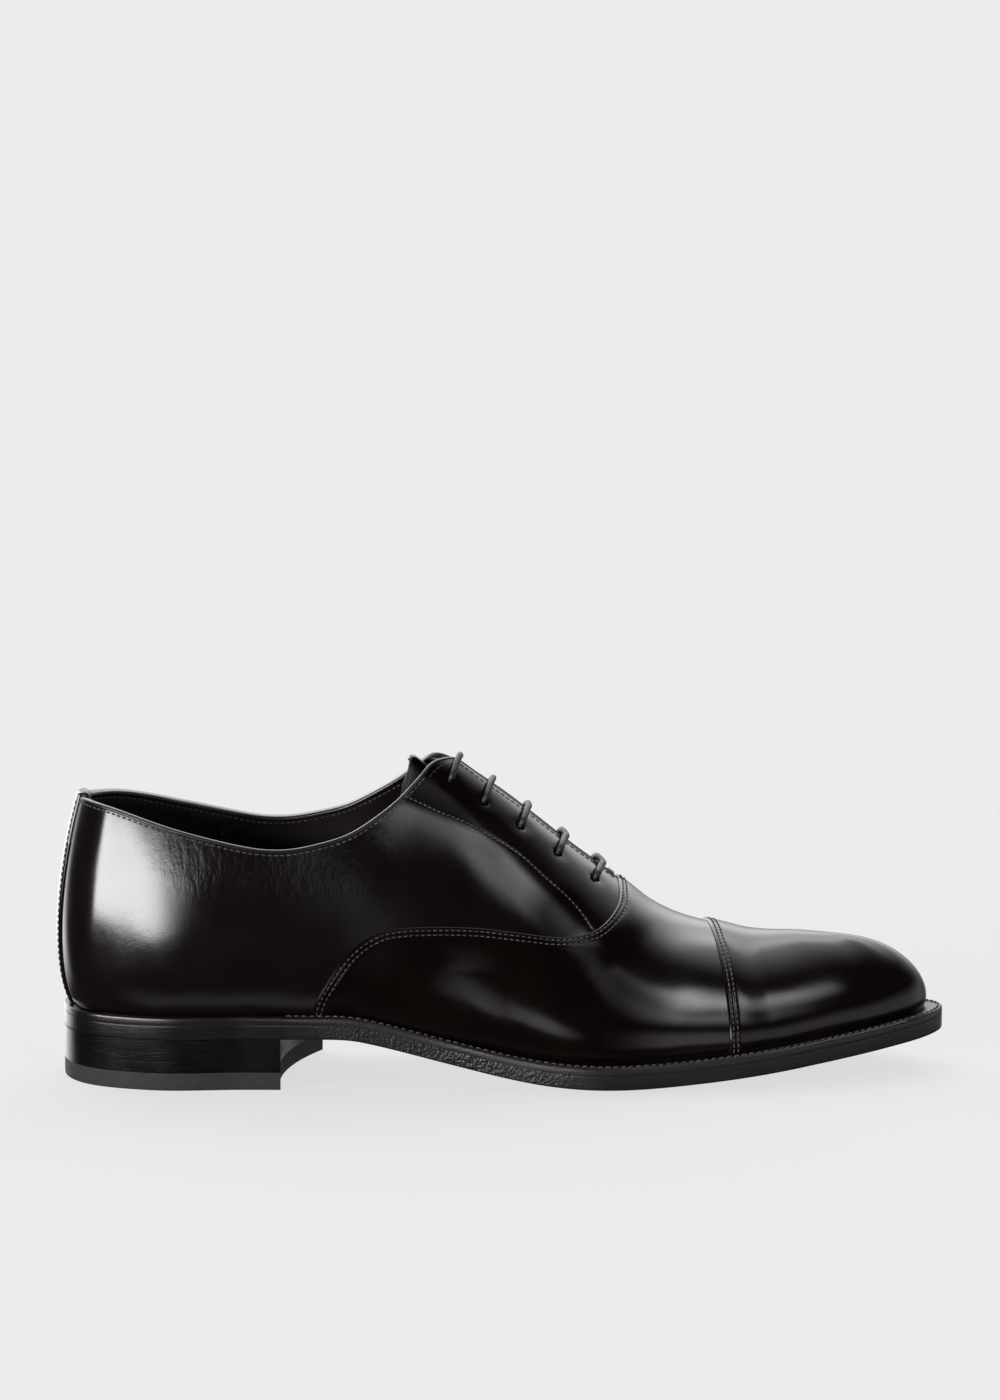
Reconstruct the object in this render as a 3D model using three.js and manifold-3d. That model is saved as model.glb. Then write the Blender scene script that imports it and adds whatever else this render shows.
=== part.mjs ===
// A leather oxford shoe for the right foot. Millimetres: X runs from heel to toe, Y to the
// inner side of the foot, Z up, and the floor is at zero.
import * as THREE from "three";
import Module from "manifold-3d";
import { mergeVertices } from "three/addons/utils/BufferGeometryUtils.js";

const wasm = await Module();
wasm.setup();

// ---- driving dimensions ----
const clearance = 0.3;          // left between any two pieces of the bottom
const layerGap = 0.5;           // left between the layers of the upper
const heelHeight = 17;          // floor to the underside of the outsole, at the heel
const topPieceThickness = 5.7;
const liftCount = 3;
const outsoleThickness = 4.5;
const weltThickness = 2.7;
const insoleThickness = 2.2;
const sockThickness = 1;
const leather = 1.3;            // thickness of the outer leather
const lining = 0.9;
const stiffener = 1;
const crestFromX = -24;         // behind this the last's two sides part at the ankle
const facingGap = 1.4;          // from the crest to the edge of each facing
const eyeletX = [31.8, 19.4, 7.2, -5.2, -17.4];
const eyeletFromEdge = 12.5;
const laceRadius = 1.15;
const laceHoleRadius = 2.2;
const stayHoleRadius = 3.2;
const laceLean = 3;             // the bars of the lace lean this far forward at the crest
const weltTuck = 2.5;           // how far the welt runs in under the feather edge
const insoleRibWidth = 2.2;

// ---- colours ----
const finish = {
  upper: [0x0b0b0c, 0.22, 0], lining: [0x2a201a, 0.6, 0], edge: [0x141312, 0.35, 0],
  welt: [0x16120f, 0.5, 0], rubber: [0x1c1c1c, 0.85, 0], sock: [0x241c17, 0.7, 0],
  insole: [0x9a7650, 0.8, 0], cork: [0x8a6a44, 0.95, 0], steel: [0x9a9a9a, 0.4, 1],
  brass: [0x8c7339, 0.35, 1], stiff: [0xb39b76, 0.8, 0], lace: [0x0d0d0d, 0.7, 0],
};

const shoe = new THREE.Group();

// ---- small helpers ----
const lerp = THREE.MathUtils.lerp;
const steps = (count) => Array.from({ length: count + 1 }, (_, i) => i / count);

function hermite(p0, m0, p1, m1, t) {
  const t2 = t * t, t3 = t2 * t;
  return p0 * (2 * t3 - 3 * t2 + 1) + m0 * (t3 - 2 * t2 + t)
    + p1 * (3 * t2 - 2 * t3) + m1 * (t3 - t2);
}

// A smooth function through [x, value] points, level beyond both ends.
function smooth(points) {
  const slope = points.map((p, i) => {
    const a = points[Math.max(i - 1, 0)], b = points[Math.min(i + 1, points.length - 1)];
    return (b[1] - a[1]) / (b[0] - a[0]);
  });
  return (x) => {
    if (x <= points[0][0]) return points[0][1];
    const last = points.length - 1;
    if (x >= points[last][0]) return points[last][1];
    let i = 0;
    while (x > points[i + 1][0]) i += 1;
    const [a, b] = [points[i], points[i + 1]], w = b[0] - a[0];
    return hermite(a[1], slope[i] * w, b[1], slope[i + 1] * w, (x - a[0]) / w);
  };
}

// The place between low and high where test changes sign.
function solve(test, low, high) {
  const start = test(low) > 0;
  if (start === test(high) > 0) return null;
  for (let i = 0; i < 40; i += 1) {
    const mid = (low + high) / 2;
    if (test(mid) > 0 === start) low = mid;
    else high = mid;
  }
  return (low + high) / 2;
}

// ---- the last: the form that the whole shoe is built on ----
// Height of the outsole's lower edge along the shoe.
const soleLine = smooth([[-150, heelHeight], [-58, heelHeight], [-48, 16.1], [-18, 8.7],
  [10, 3.1], [36, 1.5], [65, 2.6], [108, 7.6], [152, 13.2]]);
const soleTop = (x) => soleLine(x) + outsoleThickness;
const weltTop = (x) => soleTop(x) + clearance + weltThickness;

// Each rib of the last: its foot (x, y), its head (x, y, z), the two handles that bend it
// (out and up from the foot, out and up from the head), and how far the sole stands out.
const heelBack = [-145, 0, -138.5, 0, 105, 7.5, 13.5, 11, -29, 2.8];
const lateralRibs = [
  [-137.5, -19.3, -131, -13.5, 105, 6.5, 13, 9, -28, 2.2],
  [-115, -30.2, -113.5, -21.5, 105, 5, 13, 7, -27, 1.8],
  [-87, -30.8, -87, -23, 106, 4.5, 13, 7, -27, 1.8],
  [-55, -31.8, -55, -16.5, 111, 4.5, 16, 10, -30, 3],
  [-25, -33, -24, 2.5, 110.5, 4, 26, 20, -8, 3.3],
  [0, -37, -1, 4, 96, 5, 22, 21, -3, 4.2],
  [30, -42, 30, 5, 71.5, 6, 17, 23, 0, 4.9],
  [60, -38.6, 58, 4.5, 52.8, 5.5, 14, 21, 0, 4.9],
  [88, -35, 84, 3, 46.4, 4, 13, 18, 0, 5],
  [112, -27.5, 101, 0.5, 45.8, 3.5, 12, 15, 0, 4.9],
  [129, -20, 109, -1, 45.3, 3, 11, 15, 0, 4.9],
  [140, -12.5, 112.5, -2, 45.1, 3.5, 9.5, 19, 0, 5.4],
];
const toeTip = [144.8, -3, 113.5, -2.3, 45, 4, 8.5, 23.5, 0, 6.2];
const medialRibs = [
  [140, 6.5, 112.5, -2, 45.1, 3.5, 9.5, 19, 0, 5.6],
  [129, 15.5, 109, -1, 45.3, 3, 11, 15, 0, 5.2],
  [112, 26, 101, 0.5, 45.8, 4, 12, 15, 0, 5.2],
  [88, 37, 84, 3, 46.4, 4.5, 13, 18, 0, 5.4],
  [60, 43.3, 58, 4.5, 52.8, 6, 14, 21, 0, 5.4],
  [32, 39, 30, 5, 71.5, 8, 17, 23, 0, 4.6],
  [0, 27.5, -1, 4, 96, 11, 22, 22, -3, 3],
  [-25, 22.5, -24, 2.5, 110.5, 12, 24, 20, -8, 2.6],
  [-55, 25.5, -55, 19, 111, 8, 17, 8, -30, 2.2],
  [-87, 29.8, -87, 23, 106, 4.5, 13, 7, -27, 1.8],
  [-115, 29.8, -113.5, 21.5, 105, 5, 13, 7, -27, 1.8],
  [-137.5, 19.3, -131, 13.5, 105, 6.5, 13, 9, -28, 2.2],
];
const ribs = [heelBack, ...lateralRibs, toeTip, ...medialRibs];
const toe = lateralRibs.length + 1;
const around = ribs.length;

// Rib values at any place a on the loop, which counts ribs from the heel's back.
function rib(a) {
  const i = Math.floor(a), t = a - i;
  const at = (k) => ribs[((k % around) + around) % around];
  const [p, q, r, s] = [at(i - 1), at(i), at(i + 1), at(i + 2)];
  return q.map((_, k) => hermite(q[k], (r[k] - p[k]) / 2, r[k], (s[k] - q[k]) / 2, t));
}

// A point of the last: a goes around it, v from the feather edge (0) to the crest (1).
function lastPoint(a, v) {
  const [fx, fy, tx, ty, tz, lowOut, lowUp, highOut, highUp] = rib(a);
  const fz = weltTop(fx) + clearance;
  const flat = Math.hypot(fx - tx, fy - ty);
  const dx = (fx - tx) / flat, dy = (fy - ty) / flat;
  const curve = new THREE.CubicBezierCurve3(
    new THREE.Vector3(fx, fy, fz),
    new THREE.Vector3(fx + dx * lowOut, fy + dy * lowOut, fz + lowUp),
    new THREE.Vector3(tx + dx * highOut, ty + dy * highOut, tz + highUp),
    new THREE.Vector3(tx, ty, tz));
  return curve.getPoint(v);
}

// The crest's slope, from the heads of the lateral ribs that reach it.
const crestLine = smooth([...lateralRibs.slice(4), toeTip].map((r) => [r[2], r[4]]));

function lastNormal(a, v) {
  const d = 0.01, low = Math.max(v - d, 0), high = Math.min(v + d, 1);
  const x = rib(a)[2];
  if (v >= 1 && x > crestFromX) {
    return new THREE.Vector3(crestLine(x - 1) - crestLine(x + 1), 0, 2).normalize();
  }
  const along = lastPoint(a + d, Math.min(v, 0.97)).sub(lastPoint(a - d, Math.min(v, 0.97)));
  const up = lastPoint(a, high).sub(lastPoint(a, low));
  return along.cross(up).normalize();
}

// A point at a depth under the outside of the upper.
function inside(a, v, depth) {
  const p = lastPoint(a, v);
  const q = p.clone().addScaledVector(lastNormal(a, v), -depth);
  if (v <= 0) q.z = p.z;
  return q;
}

// The place on the loop, between two ribs, where the foot of the rib has this x.
const footAt = (x, from, to) => solve((a) => rib(a)[0] - x, from, to);
// The place on the lateral side where the head of the rib is on the crest at this x.
const crestAt = (x) => solve((a) => rib(a)[2] - x, 5, toe);
const mirror = (a) => around - a;

// ---- closed solids from grids ----
// Patches are grids of [a, v]; front and back give the two skins; open edges are walled.
function shell(patches, front, back) {
  const index = new Map(), skin = [[], []], faces = [];
  const key = (p) => p.toArray().map((c) => Math.round(c * 500)).join(",");
  const vertex = (place) => {
    const p = front(...place), k = key(p);
    if (!index.has(k)) {
      index.set(k, skin[0].length);
      skin[0].push(p);
      skin[1].push(back(...place));
    }
    return index.get(k);
  };
  for (const patch of patches) {
    const ids = patch.map((row) => row.map(vertex));
    for (let i = 0; i + 1 < ids.length; i += 1) {
      for (let j = 0; j + 1 < ids[i].length; j += 1) {
        const [a, b, c, d] = [ids[i][j], ids[i + 1][j], ids[i + 1][j + 1], ids[i][j + 1]];
        for (const f of [[a, b, c], [a, c, d]]) {
          if (new Set(f).size === 3) faces.push(f);
        }
      }
    }
  }
  return closed(skin, faces);
}

function closed(skin, faces) {
  const count = skin[0].length, all = [...skin[0], ...skin[1]], out = [];
  const open = new Map();
  for (const [a, b, c] of faces) {
    out.push(a, b, c, a + count, c + count, b + count);
    for (const [p, q] of [[a, b], [b, c], [c, a]]) {
      if (!open.delete(`${q},${p}`)) open.set(`${p},${q}`, [p, q]);
    }
  }
  for (const [p, q] of open.values()) out.push(q, p, p + count, q, p + count, q + count);
  const geometry = new THREE.BufferGeometry();
  const numbers = all.flatMap((p) => p.toArray());
  geometry.setAttribute("position", new THREE.Float32BufferAttribute(numbers, 3));
  geometry.setIndex(out);
  return facingOut(geometry);
}

function facingOut(geometry) {
  const p = geometry.attributes.position, ids = geometry.index.array;
  const v = [0, 1, 2].map(() => new THREE.Vector3());
  let volume = 0;
  for (let i = 0; i < ids.length; i += 3) {
    v.forEach((q, k) => q.fromBufferAttribute(p, ids[i + k]));
    volume += v[0].dot(v[1].clone().cross(v[2]));
  }
  if (volume < 0) {
    for (let i = 0; i < ids.length; i += 3) [ids[i], ids[i + 1]] = [ids[i + 1], ids[i]];
  }
  return geometry;
}

// ---- booleans ----
function toManifold(geometry) {
  const bare = geometry.clone();
  bare.deleteAttribute("normal");
  bare.deleteAttribute("uv");
  const merged = mergeVertices(bare, 1e-3);
  return new wasm.Manifold(new wasm.Mesh({
    numProp: 3,
    vertProperties: new Float32Array(merged.attributes.position.array),
    triVerts: new Uint32Array(merged.index.array),
  }));
}

function fromManifold(solid) {
  const mesh = solid.getMesh(), geometry = new THREE.BufferGeometry();
  const numbers = new THREE.Float32BufferAttribute(mesh.vertProperties, 3);
  geometry.setAttribute("position", numbers);
  geometry.setIndex([...mesh.triVerts]);
  return geometry;
}

const cut = (geometry, tools) =>
  fromManifold(tools.reduce((s, t) => s.subtract(toManifold(t)), toManifold(geometry)));

function add(name, geometry, [color, roughness, metalness]) {
  geometry.computeVertexNormals();
  const material = new THREE.MeshStandardMaterial({ color, roughness, metalness });
  const mesh = new THREE.Mesh(geometry, material);
  mesh.name = name;
  shoe.add(mesh);
}

// ---- the bottom: plates between the two sides of the loop ----
// A point of the loop in plan, moved in from the edge of the sole.
function edgePoint(a, inset) {
  const d = 0.02, [x1, y1] = rib(a - d), [x2, y2] = rib(a + d), r = rib(a);
  const long = Math.hypot(x2 - x1, y2 - y1), out = r[9] - inset;
  return new THREE.Vector2(r[0] + (y2 - y1) / long * out, r[1] - (x2 - x1) / long * out);
}

// A grid across the shoe between two places on the lateral side and two on the medial side.
function plate(range, columns, rows, inset, low, high, bend = 0) {
  const grid = [steps(columns).map((s) => steps(rows).map((u) => [s, u]))].flat();
  const place = (s, u, z) => {
    const l = edgePoint(lerp(range[0], range[1], s), inset);
    const m = edgePoint(mirror(lerp(range[2], range[3], s)), inset);
    const x = lerp(l.x, m.x, u) - bend * 4 * u * (1 - u) * s ** 3;
    return new THREE.Vector3(x, lerp(l.y, m.y, u), z(x, u));
  };
  return shell([grid], (s, u) => place(s, u, high), (s, u) => place(s, u, low));
}

// A strip around part of the loop, between two insets from the edge of the sole.
function ring(from, to, columns, outer, inner, low, high) {
  const grid = steps(columns).map((s) => [0, 1].map((u) => [lerp(from, to, s), u]));
  const place = (a, u, z) => {
    const p = edgePoint(a, u ? inner(a) : outer(a));
    return new THREE.Vector3(p.x, p.y, z(p.x));
  };
  return shell([grid], (a, u) => place(a, u, high), (a, u) => place(a, u, low));
}

// The heel's front face, called the breast, is further forward on the medial side.
const breastLateral = footAt(-74.6, 2, 5);
const breastMedial = mirror(footAt(-60.7, around - 5, around - 2));
const breastHollow = 5;
const heelRange = [0, breastLateral, 0, breastMedial];
const wholeRange = [0, toe, 0, toe];
const featherInset = (a) => rib(a)[9];

function bottom() {
  const crown = smooth([[-60, 0], [-59, 0], [-30, 1], [0, 1.5], [110, 1.5], [150, 0.6]]);
  const hollow = (x, u) => soleLine(x) - crown(x) * (1 - (2 * u - 1) ** 4);
  add("outsole", plate(wholeRange, 56, 4, 0, hollow, soleTop), finish.edge);

  const liftTop = heelHeight - clearance, liftLow = topPieceThickness + clearance;
  const pitch = (liftTop - liftLow + clearance) / liftCount, liftInset = 0.1;
  const nails = heelNails(liftLow + pitch - clearance);
  const top = plate(heelRange, 16, 2, 0, () => 0, () => topPieceThickness, breastHollow);
  add("top_piece", cut(top, nails.holes), finish.rubber);
  for (let i = 0; i < liftCount; i += 1) {
    const low = liftLow + i * pitch, high = low + pitch - clearance;
    const lift = plate(heelRange, 16, 2, liftInset, () => low, () => high, breastHollow);
    add(`heel_lift_${i + 1}`, i ? lift : cut(lift, nails.holes), finish.edge);
  }
  nails.solids.forEach((n, i) => add(`heel_nail_${i + 1}`, n, finish.brass));

  const low = (x) => soleTop(x) + clearance, high = (x) => low(x) + weltThickness;
  const weltInner = (a) => featherInset(a) + weltTuck, none = () => 0;
  add("welt", ring(breastLateral, mirror(breastMedial), 64, none, weltInner, low, high),
    finish.welt);
  const endGap = 0.02;          // on the loop, between the rand's ends and the welt's
  add("heel_rand", ring(mirror(breastMedial) + endGap, around + breastLateral - endGap, 24,
    none, weltInner, low, high), finish.welt);
  const ribOuter = (a) => weltInner(a) + clearance;
  const ribInner = (a) => ribOuter(a) + insoleRibWidth;
  add("insole_rib", ring(breastLateral, mirror(breastMedial), 64, ribOuter, ribInner, low,
    high), finish.insole);
  fillers(low, high);
}

// Short nails that hold the top piece to the first lift, and the holes that they need.
function heelNails(reach) {
  const places = [[-135, 0], [-122, -19], [-122, 19], [-92, -20], [-92, 20]];
  const rod = (radius, length, x, y) => {
    const g = new THREE.CylinderGeometry(radius, radius, length, 10);
    return g.rotateX(Math.PI / 2).translate(x, y, length / 2);
  };
  const lift = 0.8, nail = 1.3, below = 3;
  return {
    solids: places.map(([x, y]) => rod(nail, reach - 2 * lift, x, y).translate(0, 0, lift)),
    holes: places.map(([x, y]) => rod(nail + clearance, 2 * reach, x, y).translate(0, 0, -below)),
  };
}

// What lies between the outsole and the insole, then the insole and the sock over it.
function fillers(low, high) {
  const inset = 12, ball = 6.4, insoleInset = 6.3, sockInset = 6.6, slack = 1.4;
  const shankHalf = 6, shankFrom = -104, shankTo = 4, shankSide = -4, shankThickness = 1;
  const shankRise = 1;
  add("cork_filler", plate([ball, toe, ball, toe], 20, 3, inset, low, high), finish.cork);
  const shankPlace = (x, y, z) => new THREE.Vector3(x, y, z + shankRise);
  const shankGrid = steps(12).map((s) => [-1, 1].map((u) => [lerp(shankFrom, shankTo, s), u]));
  const shankY = (x, u) => u * shankHalf + shankSide;
  add("shank", shell([shankGrid], (x, u) => shankPlace(x, shankY(x, u), low(x) + shankThickness),
    (x, u) => shankPlace(x, shankY(x, u), low(x))), finish.steel);
  const above = (x) => high(x) + clearance, seat = leather + stiffener + lining + slack;
  const insole = (depth, from, thick) => plate(wholeRange, 30, 2, depth,
    (x) => above(x) + from, (x) => above(x) + from + thick);
  add("insole", insole(insoleInset + seat, 0, insoleThickness), finish.insole);
  add("sock_lining", insole(sockInset + seat, insoleThickness + clearance, sockThickness),
    finish.sock);
}

// ---- lines on the upper, as heights along the shoe ----
const lateralTopline = smooth([[-141, 94.6], [-129, 92.3], [-107.6, 85.9], [-84, 80.2],
  [-73, 79.4], [-62.5, 80.9], [-51.6, 83.9], [-43.3, 88.4], [-34.9, 94.3], [-28.3, 100.4],
  [-23.7, 104.9], [-20, 106.2], [-12, 106.5]]);
const medialLift = smooth([[-141, 0], [-115, 2.2], [-84, 3.2], [-40, 3], [-24, 1.5],
  [-12, 1]]);
const vampSeam = smooth([[-64.5, 20], [-63.5, 27.4], [-59.8, 34.9], [-55.1, 42],
  [-49.1, 48], [-43.2, 51.5], [-37.3, 53.1], [-25.4, 53.7], [-8.7, 53.2], [4.8, 51.5],
  [18.4, 49.8], [28.4, 50.6], [33, 52.6], [37.5, 56.4], [39.6, 60], [40.4, 66]]);
const wingBackX = -64.5, throatX = 40.4;
const capX = 71.3, capSlant = 0.08;   // the cap's edge crosses the crest here, and slants
const counterX = -80;                 // the heel counter's front end
const flapBackX = -33.5, flapFrontX = 29;
const seamGap = 0.5;
const upRows = 7;                     // rows of every layer from feather to crest
const lateral = { sign: -1, to: (a) => a, lift: () => 0 };
const medial = { sign: 1, to: mirror, lift: medialLift };

// How far up a rib the test turns positive: 0 if it starts so, 1 if it never does.
function firstV(a, test) {
  const on = (v) => test(lastPoint(a, v));
  return on(0) > 0 ? 0 : solve(on, 0, 1) ?? 1;
}
const crestY = (x) => (x < -22 ? 2.6 : lastPoint(crestAt(x), 1).y);
const toplineV = (s, a) => firstV(a, (p) => p.z - lateralTopline(p.x) - s.lift(p.x));
const edgeV = (s, a) => firstV(a, (p) => facingGap - s.sign * (p.y - crestY(p.x)));
const seamV = (a, away) => (rib(a)[0] < wingBackX - 3 ? 0
  : firstV(a, (p) => p.z - vampSeam(p.x + away) - away));
const footX = (s, x) =>
  (s === lateral ? footAt(x, 1, toe - 1) : footAt(x, toe + 1, around - 1));

// The line where each facing bends away from its quarter, and the plane of that seam.
function flapLine(s) {
  const a = footX(s, flapBackX), b = footX(s, flapFrontX);
  const back = lastPoint(a, toplineV(s, a)), front = lastPoint(b, seamV(b, 0));
  const middle = (a + b) / 2, v = firstV(middle, (p) => p.z - (back.z + front.z) / 2);
  const along = front.clone().sub(back).normalize();
  const across = along.clone().cross(lastNormal(middle, v)).normalize();
  if (across.z < 0) across.negate();
  return { back, front, along, across };
}
lateral.flap = flapLine(lateral);
medial.flap = flapLine(medial);
const flapV = (s, a, away) => firstV(a,
  (p) => p.clone().sub(s.flap.back).dot(s.flap.across) - away);

// A grid of [a, v] at some places on the loop, kept between two lines. Its rows lie at the
// same heights v for every layer.
function band(places, rows, low, high) {
  return places.map((a) => {
    const from = low(a), to = Math.max(high(a), from);
    return steps(rows).map((v) => [a, THREE.MathUtils.clamp(v, from, to)]);
  });
}
const spread = (from, to, count) => steps(count).map((t) => lerp(from, to, t));
// Places at the same steps on the loop for every layer, so that curved layers stay apart.
const loopStep = 0.36;
function places(from, to) {
  const sign = Math.sign(to - from), near = loopStep * 0.4, out = [from];
  const first = Math.ceil(Math.min(from, to) / loopStep) * loopStep;
  const between = [];
  for (let a = first; a < Math.max(from, to); a += loopStep) {
    if (Math.abs(a - from) > near && Math.abs(a - to) > near) between.push(a);
  }
  return [...out, ...(sign > 0 ? between : between.reverse()), to];
}

// The two sides of the loop run opposite ways, so one side's grids are turned round.
const bothSides = (make) => [make(lateral), make(medial).map((grid) => grid.reverse())].flat();

const skin = (patches, from, to) => shell(patches, (a, v) => inside(a, v, from),
  (a, v) => inside(a, v, to));
const nearBack = 0.025;

// ---- the upper ----
// The places that the vamp's wings and the quarters share along their common seam.
const seamPlaces = (s) => places(footX(s, wingBackX), footX(s, flapFrontX - 1));
const quarterPlaces = (s, from) =>
  [...places(from, footX(s, wingBackX)), ...seamPlaces(s).slice(1)];
const quarterGrid = (s, from) => band(quarterPlaces(s, from), upRows,
  (a) => seamV(a, seamGap),
  (a) => Math.min(toplineV(s, a), flapV(s, a, -seamGap)));

const facingGrid = (s) => band(
  places(footX(s, flapBackX + 1), footX(s, throatX - 2)), upRows,
  (a) => Math.max(seamV(a, seamGap), flapV(s, a, seamGap)),
  (a) => Math.min(toplineV(s, a), edgeV(s, a)));

function quarters() {
  for (const [name, s] of [["lateral", lateral], ["medial", medial]]) {
    const start = s === lateral ? nearBack : around - nearBack;
    add(`${name}_quarter`, skin([quarterGrid(s, start)], 0, leather), finish.upper);
    const front = footX(s, counterX);
    const depth = leather + layerGap;
    add(`${name}_quarter_lining`, skin([quarterGrid(s, front)], depth, depth + lining),
      finish.lining);
  }
}

// The wings of the vamp run back on both sides; its front part spans the foot.
const throatColumns = [31, 34, 36.5, 38.6];   // where the seam rises, it needs more places
const vampEnd = -0.2, capStart = 0.25, puffStart = 0.4, layerInset = 2.5;
const atX = (s, x, v) => solve((a) => lastPoint(a, v).x - x, s.to(6), s.to(9));
const atCap = (s, v, ahead) => solve((a) => {
  const p = lastPoint(a, v);
  return p.x + capSlant * p.y - capX - ahead;
}, s.to(8), s.to(11));

function wing(s, ahead) {
  const columns = [...seamPlaces(s), ...throatColumns.map((x) => footX(s, x))];
  const grid = band(columns, upRows, () => 0, (a) => seamV(a, 0));
  return [...grid, steps(upRows).map((v) => [atX(s, throatX + ahead, v), v])];
}
const front = (s, ahead, capAhead) => steps(4).map((t) => steps(upRows).map(
  (v) => [lerp(atX(s, throatX + ahead, v), atCap(s, v, capAhead), t), v]));
const cap = (s, ahead) => steps(7).map((t) => steps(upRows).map(
  (v) => [lerp(atCap(s, v, ahead), toe, t ** 0.8), v]));

function forepart() {
  const vamp = (ahead) => bothSides((s) => [wing(s, ahead), front(s, ahead, vampEnd)]);
  add("vamp", skin(vamp(0), 0, leather), finish.upper);
  const next = leather + layerGap;
  add("vamp_interlining", skin(vamp(layerInset), next, next + stiffener), finish.stiff);
  add("toe_cap", skin(bothSides((s) => [cap(s, capStart)]), 0, leather), finish.upper);
  add("toe_puff", skin(bothSides((s) => [cap(s, puffStart)]), next, next + stiffener),
    finish.stiff);
  const last = next + stiffener + layerGap;
  const inner = bothSides((s) => [wing(s, layerInset), front(s, layerInset, 0), cap(s, 0)]);
  add("vamp_lining", skin(inner, last, last + lining), finish.lining);
}

function heelParts() {
  const a = footX(lateral, counterX + 1), b = footX(medial, counterX + 1) - around;
  const next = leather + layerGap, last = next + stiffener + layerGap;
  const s = (place) => (place < 0 ? medial : lateral);
  const top = (place) => toplineV(s(place), place < 0 ? place + around : place);
  const counterShare = 0.7, counterInset = 0.1;
  add("heel_counter", skin([band(places(b + counterInset, a - counterInset), upRows, () => 0,
    (p) => top(p) * counterShare)], next, next + stiffener), finish.stiff);
  add("heel_lining", skin([band(places(b, a), upRows, () => 0, top)], last, last + lining),
    finish.lining);
  const half = 0.3, over = clearance, strip = 0.9;
  add("back_strip", skin([band(spread(-half, half, 4), upRows, () => 0, top)], -over - strip,
    -over), finish.upper);
  const l = footX(lateral, flapBackX - 1), m = footX(medial, flapBackX - 1) - around;
  const lift = 0.004, bead = 0.018, outside = 0.1, wrap = 0.3;
  add("topline_binding", skin([band(places(m, l), 1, (p) => top(p) + lift,
    (p) => top(p) + lift + bead)], outside, next + lining + wrap), finish.upper);
}

// ---- eyelets, facings, tongue and lace ----
function eyeletPlace(s, x) {
  const a = footX(s, x), crest = lastPoint(a, edgeV(s, a));
  const v = firstV(a, (p) => eyeletFromEdge - p.distanceTo(crest));
  const p = lastPoint(a, v), normal = lastNormal(a, v);
  return { a, v, p, normal };
}
const upright = new THREE.Vector3(0, 0, 1);
function onSurface(geometry, place, depth) {
  const turn = new THREE.Quaternion().setFromUnitVectors(upright, place.normal);
  geometry.applyQuaternion(turn);
  const p = place.p.clone().addScaledVector(place.normal, -depth);
  return geometry.translate(p.x, p.y, p.z);
}
function hole(place, radius) {
  const g = new THREE.CylinderGeometry(radius, radius, 9, 10).rotateX(Math.PI / 2);
  return onSurface(g, place, 0);
}
function eyelet(place) {
  const bore = laceHoleRadius, barrel = bore + 0.45, flange = bore + 1.5;
  const low = -0.5, neck = 0, high = 1;
  const outline = [[bore, low], [flange, low], [flange, neck], [barrel, neck],
    [barrel, high], [bore, high], [bore, low]].map(([x, y]) => new THREE.Vector2(x, y));
  const g = new THREE.LatheGeometry(outline, 10).rotateX(Math.PI / 2);
  return onSurface(facingOut(g), place, leather + layerGap + lining + 0.8);
}

function facings() {
  for (const [name, s] of [["lateral", lateral], ["medial", medial]]) {
    const spots = eyeletX.map((x) => eyeletPlace(s, x)), depth = leather + layerGap;
    const flap = skin([facingGrid(s)], 0, leather);
    add(`${name}_facing`, cut(flap, spots.map((p) => hole(p, laceHoleRadius))),
      finish.upper);
    const stay = skin([facingGrid(s)], depth, depth + lining);
    add(`${name}_facing_stay`, cut(stay, spots.map((p) => hole(p, stayHoleRadius))), finish.lining);
    spots.forEach((p, i) => add(`${name}_eyelet_${i + 1}`, eyelet(p), finish.brass));
  }
}

// The tongue follows the last under the facings, and runs on straight at its top.
const tongueFrontX = 50, tongueTopX = -27, tongueStraightX = -20, tongueRise = -0.5;
const tongueReach = 0.34;             // the share of each rib that it covers where it is widest
const tongueFull = 26, tongueTaper = 40;
const cornerRadius = 5, cornerTuck = 0.2;
const cornerDrop = 12, cornerSweep = 0.42, sweepFrom = 24;
function tonguePoint(x, q, depth) {
  const a = crestAt(Math.max(x, tongueStraightX)), extra = Math.min(x - tongueStraightX, 0);
  const round = THREE.MathUtils.clamp((tongueTopX - x) / cornerRadius + 1, 0, 1);
  const corner = 1 - cornerTuck + cornerTuck * Math.sqrt(1 - round ** 2);
  const reach = tongueReach * corner * Math.min((tongueFull - x) / tongueTaper + 1, 1);
  const p = inside(q < 0 ? a : mirror(a), 1 - Math.abs(q) * reach, depth);
  const top = inside(a, 1, depth), drop = Math.min(top.z - p.z, cornerDrop);
  const nearTop = 1 - THREE.MathUtils.smoothstep(x, tongueTopX, tongueTopX + sweepFrom);
  return p.add(new THREE.Vector3(extra - cornerSweep * drop * nearTop, 0, extra * tongueRise));
}
function tongue() {
  const depth = 7.9, grid = spread(tongueFrontX, tongueTopX, 10)
    .map((x) => spread(-1, 1, 8).map((q) => [x, q]));
  const layer = (from, thick) => shell([grid], (x, q) => tonguePoint(x, q, from),
    (x, q) => tonguePoint(x, q, from + thick));
  add("tongue", layer(depth, leather), finish.upper);
  add("tongue_lining", layer(depth + leather + layerGap, lining), finish.lining);
}

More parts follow.
